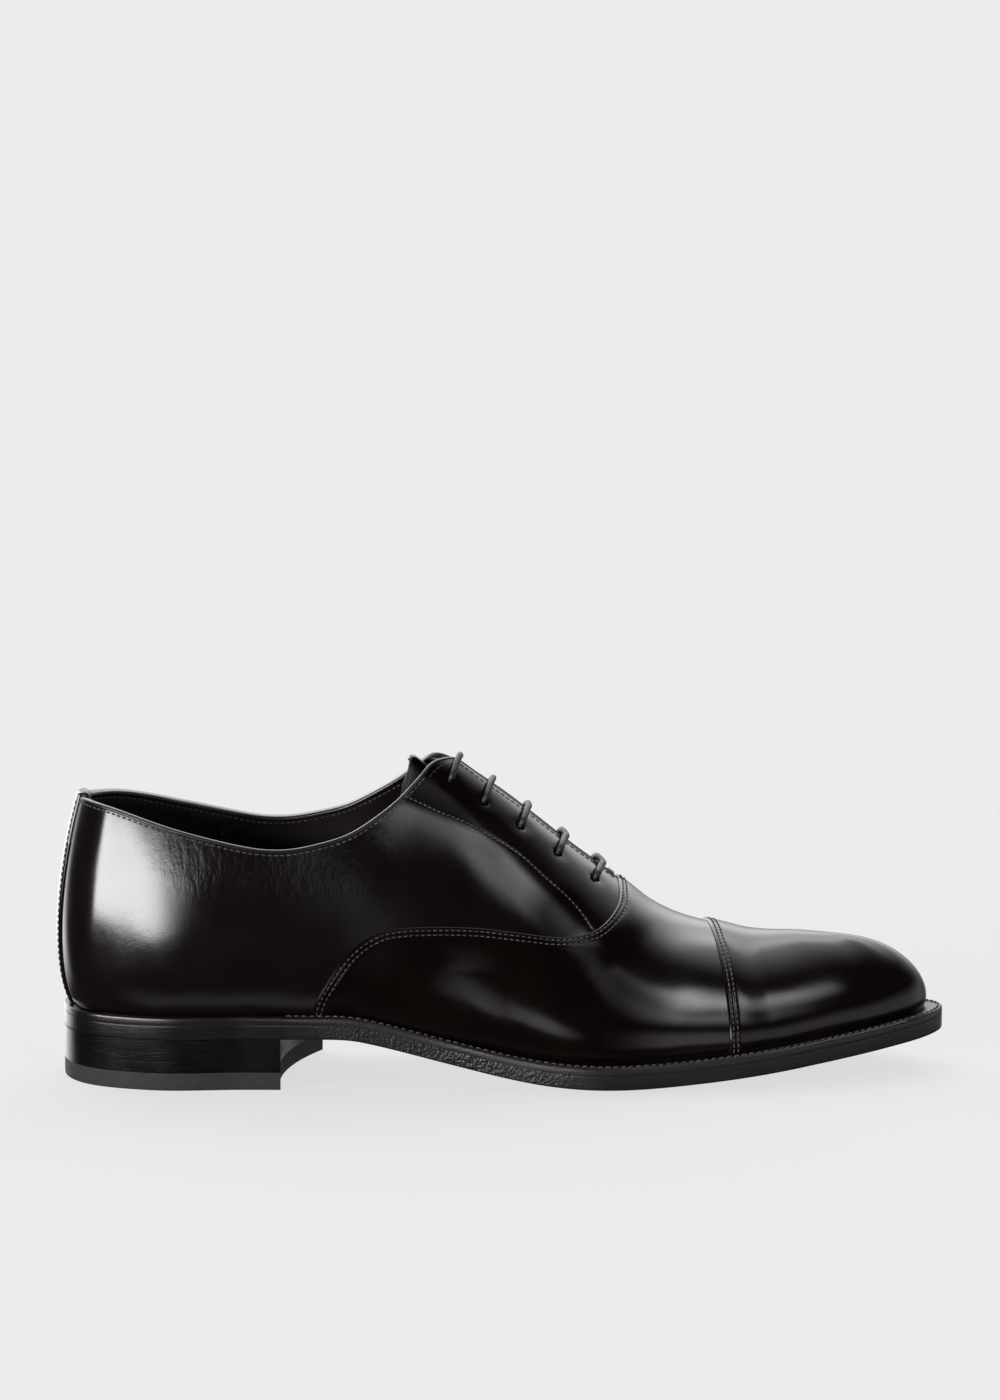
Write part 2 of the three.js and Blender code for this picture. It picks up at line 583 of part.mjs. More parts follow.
// The lace crosses in straight bars and steps from eyelet to eyelet under the facings.
function laceRoute() {
  const over = -laceRadius - 0.25, under = 5.5, inHole = 2, tailDepth = 6.3, route = [];
  const at = (place, depth) => place.p.clone().addScaledVector(place.normal, -depth);
  const tail = (s, x) => [0.12, 0.26, 0.4].map((far) => {
    const place = eyeletPlace(s, x);
    return inside(place.a, place.v - far, tailDepth);
  });
  const climb = (place, s) => {
    const ahead = s.to(crestAt(rib(place.a)[2] + laceLean)) - place.a;
    return [0.12, 0.45, 0.8].map((t) =>
      inside(place.a + ahead * (s === lateral ? t : Math.sqrt(t)), lerp(place.v, 1, t), over));
  };
  route.push(...tail(lateral, eyeletX[0]).reverse());
  eyeletX.forEach((x, i) => {
    const sides = i % 2 ? [medial, lateral] : [lateral, medial];
    const [from, to] = sides.map((s) => eyeletPlace(s, x));
    route.push(at(from, under), at(from, inHole), ...climb(from, sides[0]));
    route.push(...climb(to, sides[1]).reverse(), at(to, inHole), at(to, under));
  });
  route.push(...tail(medial, eyeletX[4]));
  return new THREE.CatmullRomCurve3(route, false, "centripetal");
}

function lace() {
  const route = laceRoute(), sides = 6, perStep = 2.2;
  const section = new THREE.Shape(steps(sides).slice(0, -1).map((t) => new THREE.Vector2(
    laceRadius * Math.cos(2 * Math.PI * t), laceRadius * Math.sin(2 * Math.PI * t))));
  const geometry = new THREE.ExtrudeGeometry(section, { extrudePath: route,
    steps: Math.round(route.getLength() / perStep), bevelEnabled: false });
  add("lace", geometry, finish.lace);
}

bottom();
quarters();
forepart();
heelParts();
facings();
tongue();
lace();

export default shoe;
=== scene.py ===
"""A black leather oxford shoe for the right foot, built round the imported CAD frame."""
import math
import bmesh
import bpy
import numpy as np
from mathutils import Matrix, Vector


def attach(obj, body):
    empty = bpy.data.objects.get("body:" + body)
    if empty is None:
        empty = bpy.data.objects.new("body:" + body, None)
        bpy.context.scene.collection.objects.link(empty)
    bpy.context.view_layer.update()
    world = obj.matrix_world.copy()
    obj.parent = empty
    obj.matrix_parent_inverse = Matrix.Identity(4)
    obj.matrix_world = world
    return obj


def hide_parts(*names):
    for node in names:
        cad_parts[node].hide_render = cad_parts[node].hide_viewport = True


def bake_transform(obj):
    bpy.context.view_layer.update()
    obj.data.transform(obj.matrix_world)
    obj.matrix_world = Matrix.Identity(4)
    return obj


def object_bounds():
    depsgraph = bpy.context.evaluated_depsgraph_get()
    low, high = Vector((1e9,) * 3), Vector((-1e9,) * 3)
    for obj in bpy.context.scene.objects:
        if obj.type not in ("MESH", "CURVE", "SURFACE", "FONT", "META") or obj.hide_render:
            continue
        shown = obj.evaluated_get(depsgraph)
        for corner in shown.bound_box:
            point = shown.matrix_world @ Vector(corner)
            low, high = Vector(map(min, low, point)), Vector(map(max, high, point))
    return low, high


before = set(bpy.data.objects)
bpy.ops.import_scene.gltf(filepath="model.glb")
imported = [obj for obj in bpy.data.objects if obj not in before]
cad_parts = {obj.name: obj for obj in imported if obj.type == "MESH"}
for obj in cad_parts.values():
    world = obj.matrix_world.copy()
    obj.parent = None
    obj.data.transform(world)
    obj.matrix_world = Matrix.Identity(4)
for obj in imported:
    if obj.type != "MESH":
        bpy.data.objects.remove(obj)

cad_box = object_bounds()
MM = 0.001

# ---- camera ----
CAMERA_PLACE = (-0.0654, -1.2458, 0.2810)
CAMERA_PITCH, CAMERA_YAW = 7.0969, -3.0
CAMERA_LENS, SENSOR = 95.86, 36.0


def make_camera():
    data = bpy.data.cameras.new("camera")
    data.lens = CAMERA_LENS
    data.sensor_width = SENSOR
    camera = bpy.data.objects.new("camera", data)
    camera.location = CAMERA_PLACE
    camera.rotation_euler = (math.radians(90 - CAMERA_PITCH), 0, math.radians(CAMERA_YAW))
    bpy.context.collection.objects.link(camera)
    bpy.context.scene.camera = camera


make_camera()


# ---- node helpers ----
class Graph:
    """Short ways to add nodes and link them."""

    def __init__(self, tree):
        self.tree = tree
        tree.nodes.clear()

    def add(self, kind, inputs=None, **settings):
        node = self.tree.nodes.new(kind)
        for key, value in settings.items():
            setattr(node, key, value)
        for key, value in (inputs or {}).items():
            self.put(node.inputs[key], value)
        return node

    def put(self, socket, value):
        if isinstance(value, bpy.types.NodeSocket):
            self.tree.links.new(value, socket)
        elif isinstance(value, tuple) and len(value) == 3 and socket.type == "RGBA":
            socket.default_value = (*value, 1)
        else:
            socket.default_value = value

    def math(self, operation, a, b=0.0, clamp=False):
        node = self.add("ShaderNodeMath", {0: a, 1: b}, operation=operation, use_clamp=clamp)
        return node.outputs[0]

    def ramp(self, value, low, high, to_low=0.0, to_high=1.0):
        node = self.add("ShaderNodeMapRange", {0: value, 1: low, 2: high, 3: to_low, 4: to_high},
                        interpolation_type="SMOOTHSTEP")
        return node.outputs[0]

    def noise(self, where, scale, detail=3.0, rough=0.5, distort=0.0):
        node = self.add("ShaderNodeTexNoise", {"Vector": where, "Scale": scale, "Detail": detail,
                                               "Roughness": rough, "Distortion": distort})
        return node.outputs[0]

    def cells(self, where, scale, feature="F1"):
        node = self.add("ShaderNodeTexVoronoi", {"Vector": where, "Scale": scale}, feature=feature)
        return node.outputs[0]

    def mix(self, share, a, b):
        node = self.add("ShaderNodeMix", data_type="RGBA")
        self.put(node.inputs[0], share)
        self.put(node.inputs[6], a)
        self.put(node.inputs[7], b)
        return node.outputs[2]

    def bump(self, height, strength, distance, below=None):
        inputs = {"Height": height, "Strength": strength, "Distance": distance}
        if below is not None:
            inputs["Normal"] = below
        return self.add("ShaderNodeBump", inputs).outputs[0]

    def scaled(self, where, factors):
        node = self.add("ShaderNodeMapping", {"Vector": where, "Scale": factors})
        return node.outputs[0]


def new_material(name, **constant):
    material = bpy.data.materials.new(name)
    material.use_nodes = True
    graph = Graph(material.node_tree)
    shader = graph.add("ShaderNodeBsdfPrincipled", constant)
    out = graph.add("ShaderNodeOutputMaterial")
    graph.tree.links.new(shader.outputs[0], out.inputs[0])
    where = graph.add("ShaderNodeTexCoord").outputs["Object"]
    return material, graph, shader, where


# ---- studio: world light by direction, and a pale floor ----
BACKGROUND = 0.838      # what the camera sees behind the shoe
FLOOR_SHADE = 0.566     # the floor's own tone, where no part of it glows
FLOOR_GLOW = 0.82       # share of its brightness that shadows don't reach
FLOOR_HALF = 6.0
AMBIENT = 0.05
# Angles in degrees: azimuth 0 faces the lateral side and grows towards the toe.
# Each box has a range of azimuth, a range of elevation, its four soft edges and its power.
PANEL = ((-73, -18), (0.3, 60), (2.5, 15, 1.5, 2), 19.5)            # big, at the left
SKY_BOXES = [
    ((-45, 15), (-32, -22), (14, 14, 5, 5), 0.35),                  # glow from below
    ((31, 52), (50, 64), (6, 6, 9, 6), 7.5),                        # upper right panel
    ((22, 38), (34, 47), (6, 8, 9, 6), 2.6),                        # its dim near end
    ((12, 120), (-10, 14), (10, 12, 4, 8), 0.9),                    # right horizon
    ((-168, -130), (-14, 38), (8, 8, 5, 8), 2.6),                   # rim at the left
]
BACKDROP = ((130, 200), (-14, 12), (20, 5, 8, 10), 0.5)             # pale, on both sides


def soft_box(g, az, el, az_range, el_range, soft, power):
    """A glowing rectangle in the sky between two azimuths and two elevations."""
    low_az, high_az = az_range
    low_el, high_el = el_range
    sides = [g.ramp(az, low_az - soft[0], low_az + soft[0]),
             g.ramp(az, high_az - soft[1], high_az + soft[1], 1.0, 0.0),
             g.ramp(el, low_el - soft[2], low_el + soft[2]),
             g.ramp(el, high_el - soft[3], high_el + soft[3], 1.0, 0.0)]
    value = sides[0]
    for side in sides[1:]:
        value = g.math("MULTIPLY", value, side)
    return g.math("MULTIPLY", value, power)


def make_world():
    """Soft boxes in the sky for light and reflections, and an even tone for the camera."""
    world = bpy.data.worlds.new("studio")
    bpy.context.scene.world = world
    world.use_nodes = True
    g = Graph(world.node_tree)
    toward = g.add("ShaderNodeTexCoord").outputs["Generated"]
    parts = g.add("ShaderNodeSeparateXYZ", {0: toward}).outputs
    el = g.math("MULTIPLY", g.math("ARCSINE", parts[2]), 180 / math.pi)
    az = g.math("ARCTAN2", parts[0], g.math("MULTIPLY", parts[1], -1.0))
    az = g.math("MULTIPLY", az, 180 / math.pi)
    away = g.math("ABSOLUTE", az)
    panel = soft_box(g, az, el, *PANEL)
    lowered = g.math("ADD", el, g.ramp(az, -50, -8, 0.0, 6.0))   # its top slopes to the right
    panel = g.math("MULTIPLY", panel, g.ramp(lowered, 13.5, 16.5, 1.0, 0.0))
    overhead = g.math("MULTIPLY", g.ramp(parts[1], -0.10, 0.62), g.ramp(el, 38, 62, 0.0, 3.7))
    behind = g.math("MULTIPLY", g.ramp(away, 100, 158, 0.0, 3.5), g.ramp(el, 0, 34))
    behind = g.math("MULTIPLY", behind, g.ramp(el, 54, 63, 1.0, 0.0))
    boxes = [panel] + [soft_box(g, az, el, *box) for box in SKY_BOXES]
    boxes += [soft_box(g, away, el, *BACKDROP), behind, overhead]
    total = AMBIENT
    for box in boxes:
        total = g.math("ADD", box, total)
    seen = g.add("ShaderNodeLightPath").outputs["Is Camera Ray"]
    strength = g.add("ShaderNodeMix", data_type="FLOAT")
    g.put(strength.inputs[0], seen)
    g.put(strength.inputs[2], total)
    g.put(strength.inputs[3], BACKGROUND)
    shade = g.add("ShaderNodeBackground", {"Color": (1, 1, 1), "Strength": strength.outputs[0]})
    out = g.add("ShaderNodeOutputWorld")
    g.tree.links.new(shade.outputs[0], out.inputs[0])


def make_floor():
    """A pale matt floor, partly glowing so that shadows on it stay light."""
    half, z = FLOOR_HALF, cad_box[0][2]
    mesh = bpy.data.meshes.new("floor")
    corners = [(-half, -half, z), (half, -half, z), (half, half, z), (-half, half, z)]
    mesh.from_pydata(corners, [], [(0, 1, 2, 3)])
    floor = bpy.data.objects.new("floor", mesh)
    bpy.context.collection.objects.link(floor)
    material, g, shader, where = new_material("floor", **{"Roughness": 1.0,
                                                          "Specular IOR Level": 0.0})
    shade = FLOOR_SHADE * (1 - FLOOR_GLOW)
    tone = g.ramp(g.noise(where, 3.0), 0.0, 1.0, shade, shade * 1.01)
    g.put(shader.inputs["Base Color"], g.add("ShaderNodeCombineColor", {0: tone, 1: tone,
                                                                        2: tone}).outputs[0])
    shader.inputs["Emission Color"].default_value = (1, 1, 1, 1)
    shader.inputs["Emission Strength"].default_value = BACKGROUND * FLOOR_GLOW
    mesh.materials.append(material)
    floor.visible_glossy = False


bpy.context.scene.view_settings.view_transform = "Standard"
make_world()
make_floor()


# ---- materials: their places are in metres ----
CREASE_BACK, CREASE_FRONT = (-0.122, -0.098), (-0.046, -0.030)   # x where wrinkles fade
CREASE_LOW = (0.058, 0.072)                                      # z where they fade
MIDDLE = (-0.008, 0.0)                     # y where the lateral side's wear fades
THROAT_X_Z, THROAT_REACH = (0.019, 0.056), (0.005, 0.017)        # dull foot of the facing
LINE_SLOPE, LINE_BEND_X, LINE_BEND = 0.40, 0.010, 17.5           # falls as the facing line
LINE_BAND = (0.0785, 0.0815)               # height of that line, level with x = 0
FACING_FADE = (-0.016, 0.006)              # x where the facing's wear lessens
VAMP_FADE, VAMP_TOP = (0.036, 0.060), (0.048, 0.057)             # x and z of the dull vamp


def creased(g, parts):
    """Where the quarters wrinkle finely below their edge."""
    along = g.math("MULTIPLY", g.ramp(parts[0], *CREASE_BACK),
                   g.ramp(parts[0], *CREASE_FRONT, 1.0, 0.0))
    return g.math("MULTIPLY", along, g.ramp(parts[2], *CREASE_LOW))


def dull_throat(g, parts):
    """The facings above their line, and their low corners, dull from handling and walking."""
    near = g.math("ADD", g.math("POWER", g.math("SUBTRACT", parts[0], THROAT_X_Z[0]), 2.0),
                  g.math("POWER", g.math("SUBTRACT", parts[2], THROAT_X_Z[1]), 2.0))
    corner = g.ramp(g.math("SQRT", near), *THROAT_REACH, 0.85, 0.0)
    corner = g.math("MULTIPLY", corner, g.ramp(parts[1], *MIDDLE, 1.0, 0.0))
    ahead = g.math("MAXIMUM", g.math("ADD", parts[0], LINE_BEND_X), 0.0)
    rise = g.math("ADD", parts[2], g.math("MULTIPLY", parts[0], LINE_SLOPE))
    rise = g.math("ADD", rise, g.math("MULTIPLY", g.math("POWER", ahead, 2.0), LINE_BEND))
    facing = g.math("MULTIPLY", g.ramp(rise, *LINE_BAND),
                    g.ramp(parts[0], *FACING_FADE, 0.95, 0.45))
    return g.math("MAXIMUM", corner,
                  g.math("MULTIPLY", facing, g.ramp(parts[1], *MIDDLE, 1.0, 0.3)))


def dull_flex(g, parts):
    """The vamp where the foot bends it, dull from walking below its crest."""
    return g.math("MULTIPLY", g.ramp(parts[0], *VAMP_FADE, 0.85, 0.0),
                  g.ramp(parts[2], *VAMP_TOP, 1.0, 0.0))


def leather(name, dark, light, rough, grain, wave, dull=None, gloss=1.5):
    """Polished leather: fine pores over a very slight waviness, duller where it is worn.

    dull gives how far the polish is gone at a place; gloss is the index of refraction.
    """
    m, g, shader, where = new_material(name, **{"IOR": gloss})
    parts = g.add("ShaderNodeSeparateXYZ", {0: where}).outputs
    pores = g.cells(where, 1500.0)
    fine = g.noise(where, 900.0, 4.0)
    cloud = g.noise(where, 45.0, 4.0, 0.55)
    # This attribute lightens the colour and raises the roughness: real wear at cut edges, seams and
    # lace holes, and on the linings a painted highlight along their seam edge.
    wear = g.add("ShaderNodeAttribute", attribute_name="wear").outputs["Fac"]
    tone = g.math("ADD", g.ramp(cloud, 0.3, 0.7, 0.0, 0.6), g.math("MULTIPLY", wear, 0.5), True)
    g.put(shader.inputs["Base Color"], g.mix(tone, dark, light))
    polish = g.ramp(cloud, 0.3, 0.75, rough * 0.85, rough * 1.2)
    polish = g.math("ADD", polish, g.ramp(fine, 0.2, 0.8, -0.015, 0.02))
    g.put(shader.inputs["Roughness"], g.math("ADD", polish, g.math("MULTIPLY", wear, 0.14)))
    big = g.bump(g.noise(where, 70.0, 2.0), wave, 0.0006)
    mid = g.bump(g.noise(where, 330.0, 3.0), grain * 0.6, 0.0001, big)
    if dull:
        wrinkles = g.noise(g.scaled(where, (430.0, 430.0, 170.0)), 1.0, 3.0, 0.6)
        mid = g.bump(g.math("MULTIPLY", wrinkles, creased(g, parts)), 1.0, 0.00013, mid)
        g.put(shader.inputs["Specular IOR Level"],
              g.math("MULTIPLY", g.math("SUBTRACT", 1.0, dull(g, parts)), 0.5))
    skin = g.bump(g.math("ADD", g.math("MULTIPLY", pores, 0.6), fine), grain, 0.00005, mid)
    g.put(shader.inputs["Normal"], skin)
    return m


WAIST_BACK, WAIST_FRONT, HEEL_END = (-0.075, -0.028), (0.0, 0.035), (-0.075, -0.050)


def edge_finish(name, dark, light, rough, line_pitch, crinkle, gloss=1.48):
    """Waxed sole edge: fine lines along it, and lacquer that crinkles at the waist."""
    m, g, shader, where = new_material(name, **{"IOR": gloss})
    parts = g.add("ShaderNodeSeparateXYZ", {0: where}).outputs
    layers = g.noise(g.scaled(where, (70.0, 70.0, 1 / line_pitch)), 1.0, 4.0, 0.65)
    grit = g.noise(where, 1400.0, 4.0)
    patch = g.noise(where, 90.0, 3.0)
    g.put(shader.inputs["Base Color"], g.mix(g.ramp(layers, 0.35, 0.75), dark, light))
    satin = g.ramp(patch, 0.3, 0.7, rough * 0.85, rough * 1.2)
    at_heel = g.ramp(parts[0], *HEEL_END, 0.6, 1.0)
    g.put(shader.inputs["Roughness"], g.math("MULTIPLY", satin, at_heel))
    lined = g.bump(layers, 0.35, 0.0001)
    rough_skin = g.bump(grit, 0.35, 0.00006, lined)
    if crinkle:
        waist = g.math("MULTIPLY", g.ramp(parts[0], *WAIST_BACK),
                       g.ramp(parts[0], *WAIST_FRONT, 1.0, 0.0))
        lacquer = g.cells(g.scaled(where, (1300.0, 1300.0, 1000.0)), 1.0, "SMOOTH_F1")
        height = g.math("MULTIPLY", lacquer, waist)
        rough_skin = g.bump(height, 0.9, 0.0003, rough_skin)
    g.put(shader.inputs["Normal"], rough_skin)
    return m


def plain(name, dark, light, rough, scale, depth, metal=0.0, kind="noise"):
    """A mottled material with a grain of one size."""
    m, g, shader, where = new_material(name, **{"Metallic": metal})
    grain = g.noise(where, scale, 5.0, 0.6) if kind == "noise" else g.cells(where, scale)
    cloud = g.noise(where, scale / 12, 3.0)
    g.put(shader.inputs["Base Color"], g.mix(g.ramp(cloud, 0.3, 0.7), dark, light))
    g.put(shader.inputs["Roughness"], g.ramp(grain, 0.2, 0.8, rough * 0.85, min(rough * 1.15, 1.0)))
    g.put(shader.inputs["Normal"], g.bump(grain, 0.5, depth))
    return m


def brushed(name, dark, light, rough, stretch):
    """Metal with fine scratches in one direction."""
    m, g, shader, where = new_material(name, **{"Metallic": 1.0})
    lines = g.noise(g.scaled(where, stretch), 1.0, 4.0, 0.6)
    g.put(shader.inputs["Base Color"], g.mix(g.ramp(lines, 0.3, 0.7), dark, light))
    g.put(shader.inputs["Roughness"], g.ramp(lines, 0.2, 0.8, rough * 0.8, rough * 1.25))
    g.put(shader.inputs["Normal"], g.bump(lines, 0.2, 0.00005))
    return m


POLISHED = ((0.0021, 0.0008, 0.0008), (0.0033, 0.0018, 0.0016), 0.13, 0.10, 0.05)
UPPER = leather("polished_black_leather", *POLISHED, dull_throat)
VAMP = leather("vamp_leather", *POLISHED, dull_flex)
# Painted light: the tongue's colours are lighter than the upper's black so that its face looks lit.
TONGUE = leather("tongue_leather", (0.008, 0.0066, 0.0056), (0.015, 0.013, 0.011), 0.42, 0.3,
                 0.1)
BINDING = leather("binding_leather", (0.0015, 0.0014, 0.0014), (0.005, 0.0045, 0.004), 0.32, 0.3,
                  0.1)
LINING = leather("lining_leather", (0.0036, 0.0013, 0.0011), (0.0062, 0.0031, 0.0025), 0.55, 0.5,
                 0.2, gloss=1.25)
SOCK = leather("sock_leather", (0.006, 0.0045, 0.0036), (0.013, 0.0095, 0.007), 0.55, 0.6, 0.25)
WELT = edge_finish("welt_leather", (0.0022, 0.0019, 0.0017), (0.009, 0.0062, 0.0045), 0.38,
                   0.0003, False)
EDGE = edge_finish("sole_edge_leather", (0.0022, 0.0020, 0.0019), (0.0080, 0.0064, 0.0054), 0.36,
                   0.0003, True, 1.42)
STACK = edge_finish("heel_stack_leather", (0.0013, 0.0012, 0.0012), (0.0042, 0.0037, 0.0034), 0.32,
                    0.0003, False, 1.33)
RUBBER = plain("heel_rubber", (0.0055, 0.0055, 0.006), (0.009, 0.009, 0.0095), 0.75, 1500.0,
               0.00008)
THREAD = plain("black_thread", (0.010, 0.0095, 0.009), (0.045, 0.041, 0.037), 0.5, 2600.0,
               0.00008)
LACE = plain("waxed_cotton_lace", (0.0014, 0.0014, 0.0015), (0.0045, 0.0045, 0.005), 0.48, 2600.0,
             0.00010, kind="cells")
CORK = plain("cork", (0.20, 0.11, 0.05), (0.36, 0.22, 0.11), 0.9, 500.0, 0.0004, kind="cells")
STIFF = plain("leatherboard", (0.30, 0.22, 0.13), (0.42, 0.32, 0.20), 0.8, 700.0, 0.0002)
INSOLE = plain("insole_leather", (0.28, 0.17, 0.09), (0.38, 0.24, 0.13), 0.7, 900.0, 0.0001)
STEEL = brushed("spring_steel", (0.42, 0.42, 0.43), (0.60, 0.60, 0.61), 0.35,
                (60.0, 2500.0, 2500.0))
BRASS = brushed("aged_brass", (0.22, 0.15, 0.06), (0.42, 0.30, 0.12), 0.35,
                (900.0, 900.0, 2500.0))

# ---- the last, in millimetres: ribs from sole to crest, round the foot from the heel ----
# Foot x, y; head x, y, z; handles out and up at the foot and at the head; sole stand-out.
RIBS = np.array([
    [-145, 0, -138.5, 0, 105, 7.5, 13.5, 11, -29, 2.8],
    [-137.5, -19.3, -131, -13.5, 105, 6.5, 13, 9, -28, 2.2],
    [-115, -30.2, -113.5, -21.5, 105, 5, 13, 7, -27, 1.8],
    [-87, -30.8, -87, -23, 106, 4.5, 13, 7, -27, 1.8],
    [-55, -31.8, -55, -16.5, 111, 4.5, 16, 10, -30, 3],
    [-25, -33, -24, 2.5, 110.5, 4, 26, 20, -8, 3.3],
    [0, -37, -1, 4, 96, 5, 22, 21, -3, 4.2],
    [30, -42, 30, 5, 71.5, 6, 17, 23, 0, 4.9],
    [60, -38.6, 58, 4.5, 52.8, 5.5, 14, 21, 0, 4.9],
    [88, -35, 84, 3, 46.4, 4, 13, 18, 0, 5],
    [112, -27.5, 101, 0.5, 45.8, 3.5, 12, 15, 0, 4.9],
    [129, -20, 109, -1, 45.3, 3, 11, 15, 0, 4.9],
    [140, -12.5, 112.5, -2, 45.1, 3.5, 9.5, 19, 0, 5.4],
    [144.8, -3, 113.5, -2.3, 45, 4, 8.5, 23.5, 0, 6.2],
    [140, 6.5, 112.5, -2, 45.1, 3.5, 9.5, 19, 0, 5.6],
    [129, 15.5, 109, -1, 45.3, 3, 11, 15, 0, 5.2],
    [112, 26, 101, 0.5, 45.8, 4, 12, 15, 0, 5.2],
    [88, 37, 84, 3, 46.4, 4.5, 13, 18, 0, 5.4],
    [60, 43.3, 58, 4.5, 52.8, 6, 14, 21, 0, 5.4],
    [32, 39, 30, 5, 71.5, 8, 17, 23, 0, 4.6],
    [0, 27.5, -1, 4, 96, 11, 22, 22, -3, 3],
    [-25, 22.5, -24, 2.5, 110.5, 12, 24, 20, -8, 2.6],
    [-55, 25.5, -55, 19, 111, 8, 17, 8, -30, 2.2],
    [-87, 29.8, -87, 23, 106, 4.5, 13, 7, -27, 1.8],
    [-115, 29.8, -113.5, 21.5, 105, 5, 13, 7, -27, 1.8],
    [-137.5, 19.3, -131, 13.5, 105, 6.5, 13, 9, -28, 2.2],
], float)
AROUND = len(RIBS)
TOE = 13
HEEL_HEIGHT, OUTSOLE, WELT_THICK, CLEARANCE = 17.0, 4.5, 2.7, 0.3
TOP_PIECE, LIFTS = 5.7, 3


def hermite(p0, m0, p1, m1, t):
    t2, t3 = t * t, t * t * t
    return p0 * (2 * t3 - 3 * t2 + 1) + m0 * (t3 - 2 * t2 + t) + p1 * (3 * t2 - 2 * t3) \
        + m1 * (t3 - t2)


def smooth(points):
    """A smooth function through [x, value] points, level beyond both ends."""
    p = np.array(points, float)
    n = len(p)
    before, after = np.maximum(np.arange(n) - 1, 0), np.minimum(np.arange(n) + 1, n - 1)
    slope = (p[after, 1] - p[before, 1]) / (p[after, 0] - p[before, 0])

    def value(x):
        x = np.clip(np.asarray(x, float), p[0, 0], p[-1, 0])
        i = np.clip(np.searchsorted(p[:, 0], x, side="right") - 1, 0, n - 2)
        w = p[i + 1, 0] - p[i, 0]
        return hermite(p[i, 1], slope[i] * w, p[i + 1, 1], slope[i + 1] * w, (x - p[i, 0]) / w)
    return value


def step(x, low, high):
    """0 below low, 1 above high, smooth between."""
    t = np.clip((np.asarray(x, float) - low) / (high - low), 0, 1)
    return t * t * (3 - 2 * t)


def dip(x, centre, width):
    return np.exp(-((x - centre) / width) ** 2)


def lerp(a, b, t):
    return a + (b - a) * t


sole_line = smooth([[-150, 17], [-58, 17], [-48, 16.1], [-18, 8.7], [10, 3.1], [36, 1.5],
                    [65, 2.6], [108, 7.6], [152, 13.2]])


def sole_top(x):
    return sole_line(x) + OUTSOLE


def welt_top(x):
    return sole_top(x) + CLEARANCE + WELT_THICK


def rib(a):
    a = np.asarray(a, float)
    i = np.floor(a).astype(int)
    t = (a - i)[..., None]
    p, q, r, s = (RIBS[(i + k) % AROUND] for k in (-1, 0, 1, 2))
    return hermite(q, (r - p) / 2, r, (s - q) / 2, t)


def last_point(a, v):
    """A point of the last: a goes round it, v from the feather edge (0) to the crest (1)."""
    a, v = np.broadcast_arrays(np.asarray(a, float), np.asarray(v, float))
    fx, fy, tx, ty, tz, lo, lu, ho, hu, _ = np.moveaxis(rib(a), -1, 0)
    fz = welt_top(fx) + CLEARANCE
    flat = np.hypot(fx - tx, fy - ty)
    dx, dy = (fx - tx) / flat, (fy - ty) / flat
    foot = np.stack((fx, fy, fz), -1)
    low = np.stack((fx + dx * lo, fy + dy * lo, fz + lu), -1)
    high = np.stack((tx + dx * ho, ty + dy * ho, tz + hu), -1)
    head = np.stack((tx, ty, tz), -1)
    v = v[..., None]
    w = 1 - v
    return foot * w ** 3 + 3 * low * w * w * v + 3 * high * w * v * v + head * v ** 3


crest_line = smooth([[r[2], r[4]] for r in RIBS[5:TOE + 1]])
CREST_FROM_X = -24


def unit(v):
    return v / np.maximum(np.linalg.norm(v, axis=-1, keepdims=True), 1e-12)


def last_normal(a, v):
    a, v = np.broadcast_arrays(np.asarray(a, float), np.asarray(v, float))
    d = 0.01
    flat = np.minimum(v, 0.97)
    along = last_point(a + d, flat) - last_point(a - d, flat)
    up = last_point(a, np.minimum(v + d, 1)) - last_point(a, np.maximum(v - d, 0))
    normal = unit(np.cross(along, up))
    x = rib(a)[..., 2]
    ridge = np.stack((crest_line(x - 1) - crest_line(x + 1), 0 * x, 0 * x + 2), -1)
    on_ridge = ((v >= 1) & (x > CREST_FROM_X))[..., None]
    return np.where(on_ridge, unit(ridge), normal)


def surface(a, v, height=0.0):
    """A point at a height over the outside of the upper, or under it where negative."""
    p = last_point(a, v)
    height = np.asarray(height, float)[..., None]
    q = p + last_normal(a, v) * height
    q[..., 2] = np.where(np.asarray(v) <= 0, p[..., 2], q[..., 2])
    return q


def solve(test, low, high):
    start = test(low) > 0
    for _ in range(50):
        mid = (low + high) / 2
        if (test(mid) > 0) == start:
            low = mid
        else:
            high = mid
    return (low + high) / 2


def first_v(a, test):
    """How far up each rib the test turns positive: 0 if it starts so, 1 if it never does."""
    a = np.asarray(a, float)
    low, high = np.zeros_like(a), np.ones_like(a)
    for _ in range(34):
        mid = (low + high) / 2
        on = test(last_point(a, mid)) > 0
        high, low = np.where(on, mid, high), np.where(on, low, mid)
    high = np.where(test(last_point(a, np.ones_like(a))) > 0, high, 1.0)
    return np.where(test(last_point(a, np.zeros_like(a))) > 0, 0.0, high)


# ---- lines on the upper ----
lateral_topline = smooth([[-141, 94.6], [-129, 92.3], [-107.6, 85.9], [-84, 80.2], [-73, 79.4],
                          [-62.5, 80.9], [-51.6, 83.9], [-43.3, 88.4], [-34.9, 94.3],
                          [-28.3, 100.4], [-23.7, 104.9], [-20, 106.2], [-12, 106.5]])
medial_lift = smooth([[-141, 0], [-115, 2.2], [-84, 3.2], [-40, 3], [-24, 1.5], [-12, 1]])
vamp_seam = smooth([[-64.5, 20], [-63.5, 27.4], [-59.8, 34.9], [-55.1, 42], [-49.1, 48],
                    [-43.2, 51.5], [-37.3, 53.1], [-25.4, 53.7], [-8.7, 53.2], [4.8, 51.5],
                    [18.4, 49.8], [28.4, 50.6], [33, 52.6], [37.5, 56.4], [39.6, 60],
                    [40.4, 66]])
facing_line = smooth([[-33.5, 95.5], [-29.3, 93.8], [-21.8, 90.2], [-13, 86.6], [-3.8, 81.6],
                      [5.7, 75.5], [14, 68.1], [21, 62], [26.1, 56.4], [29.2, 51.6]])
WING_BACK_X, THROAT_X = -64.5, 40.4
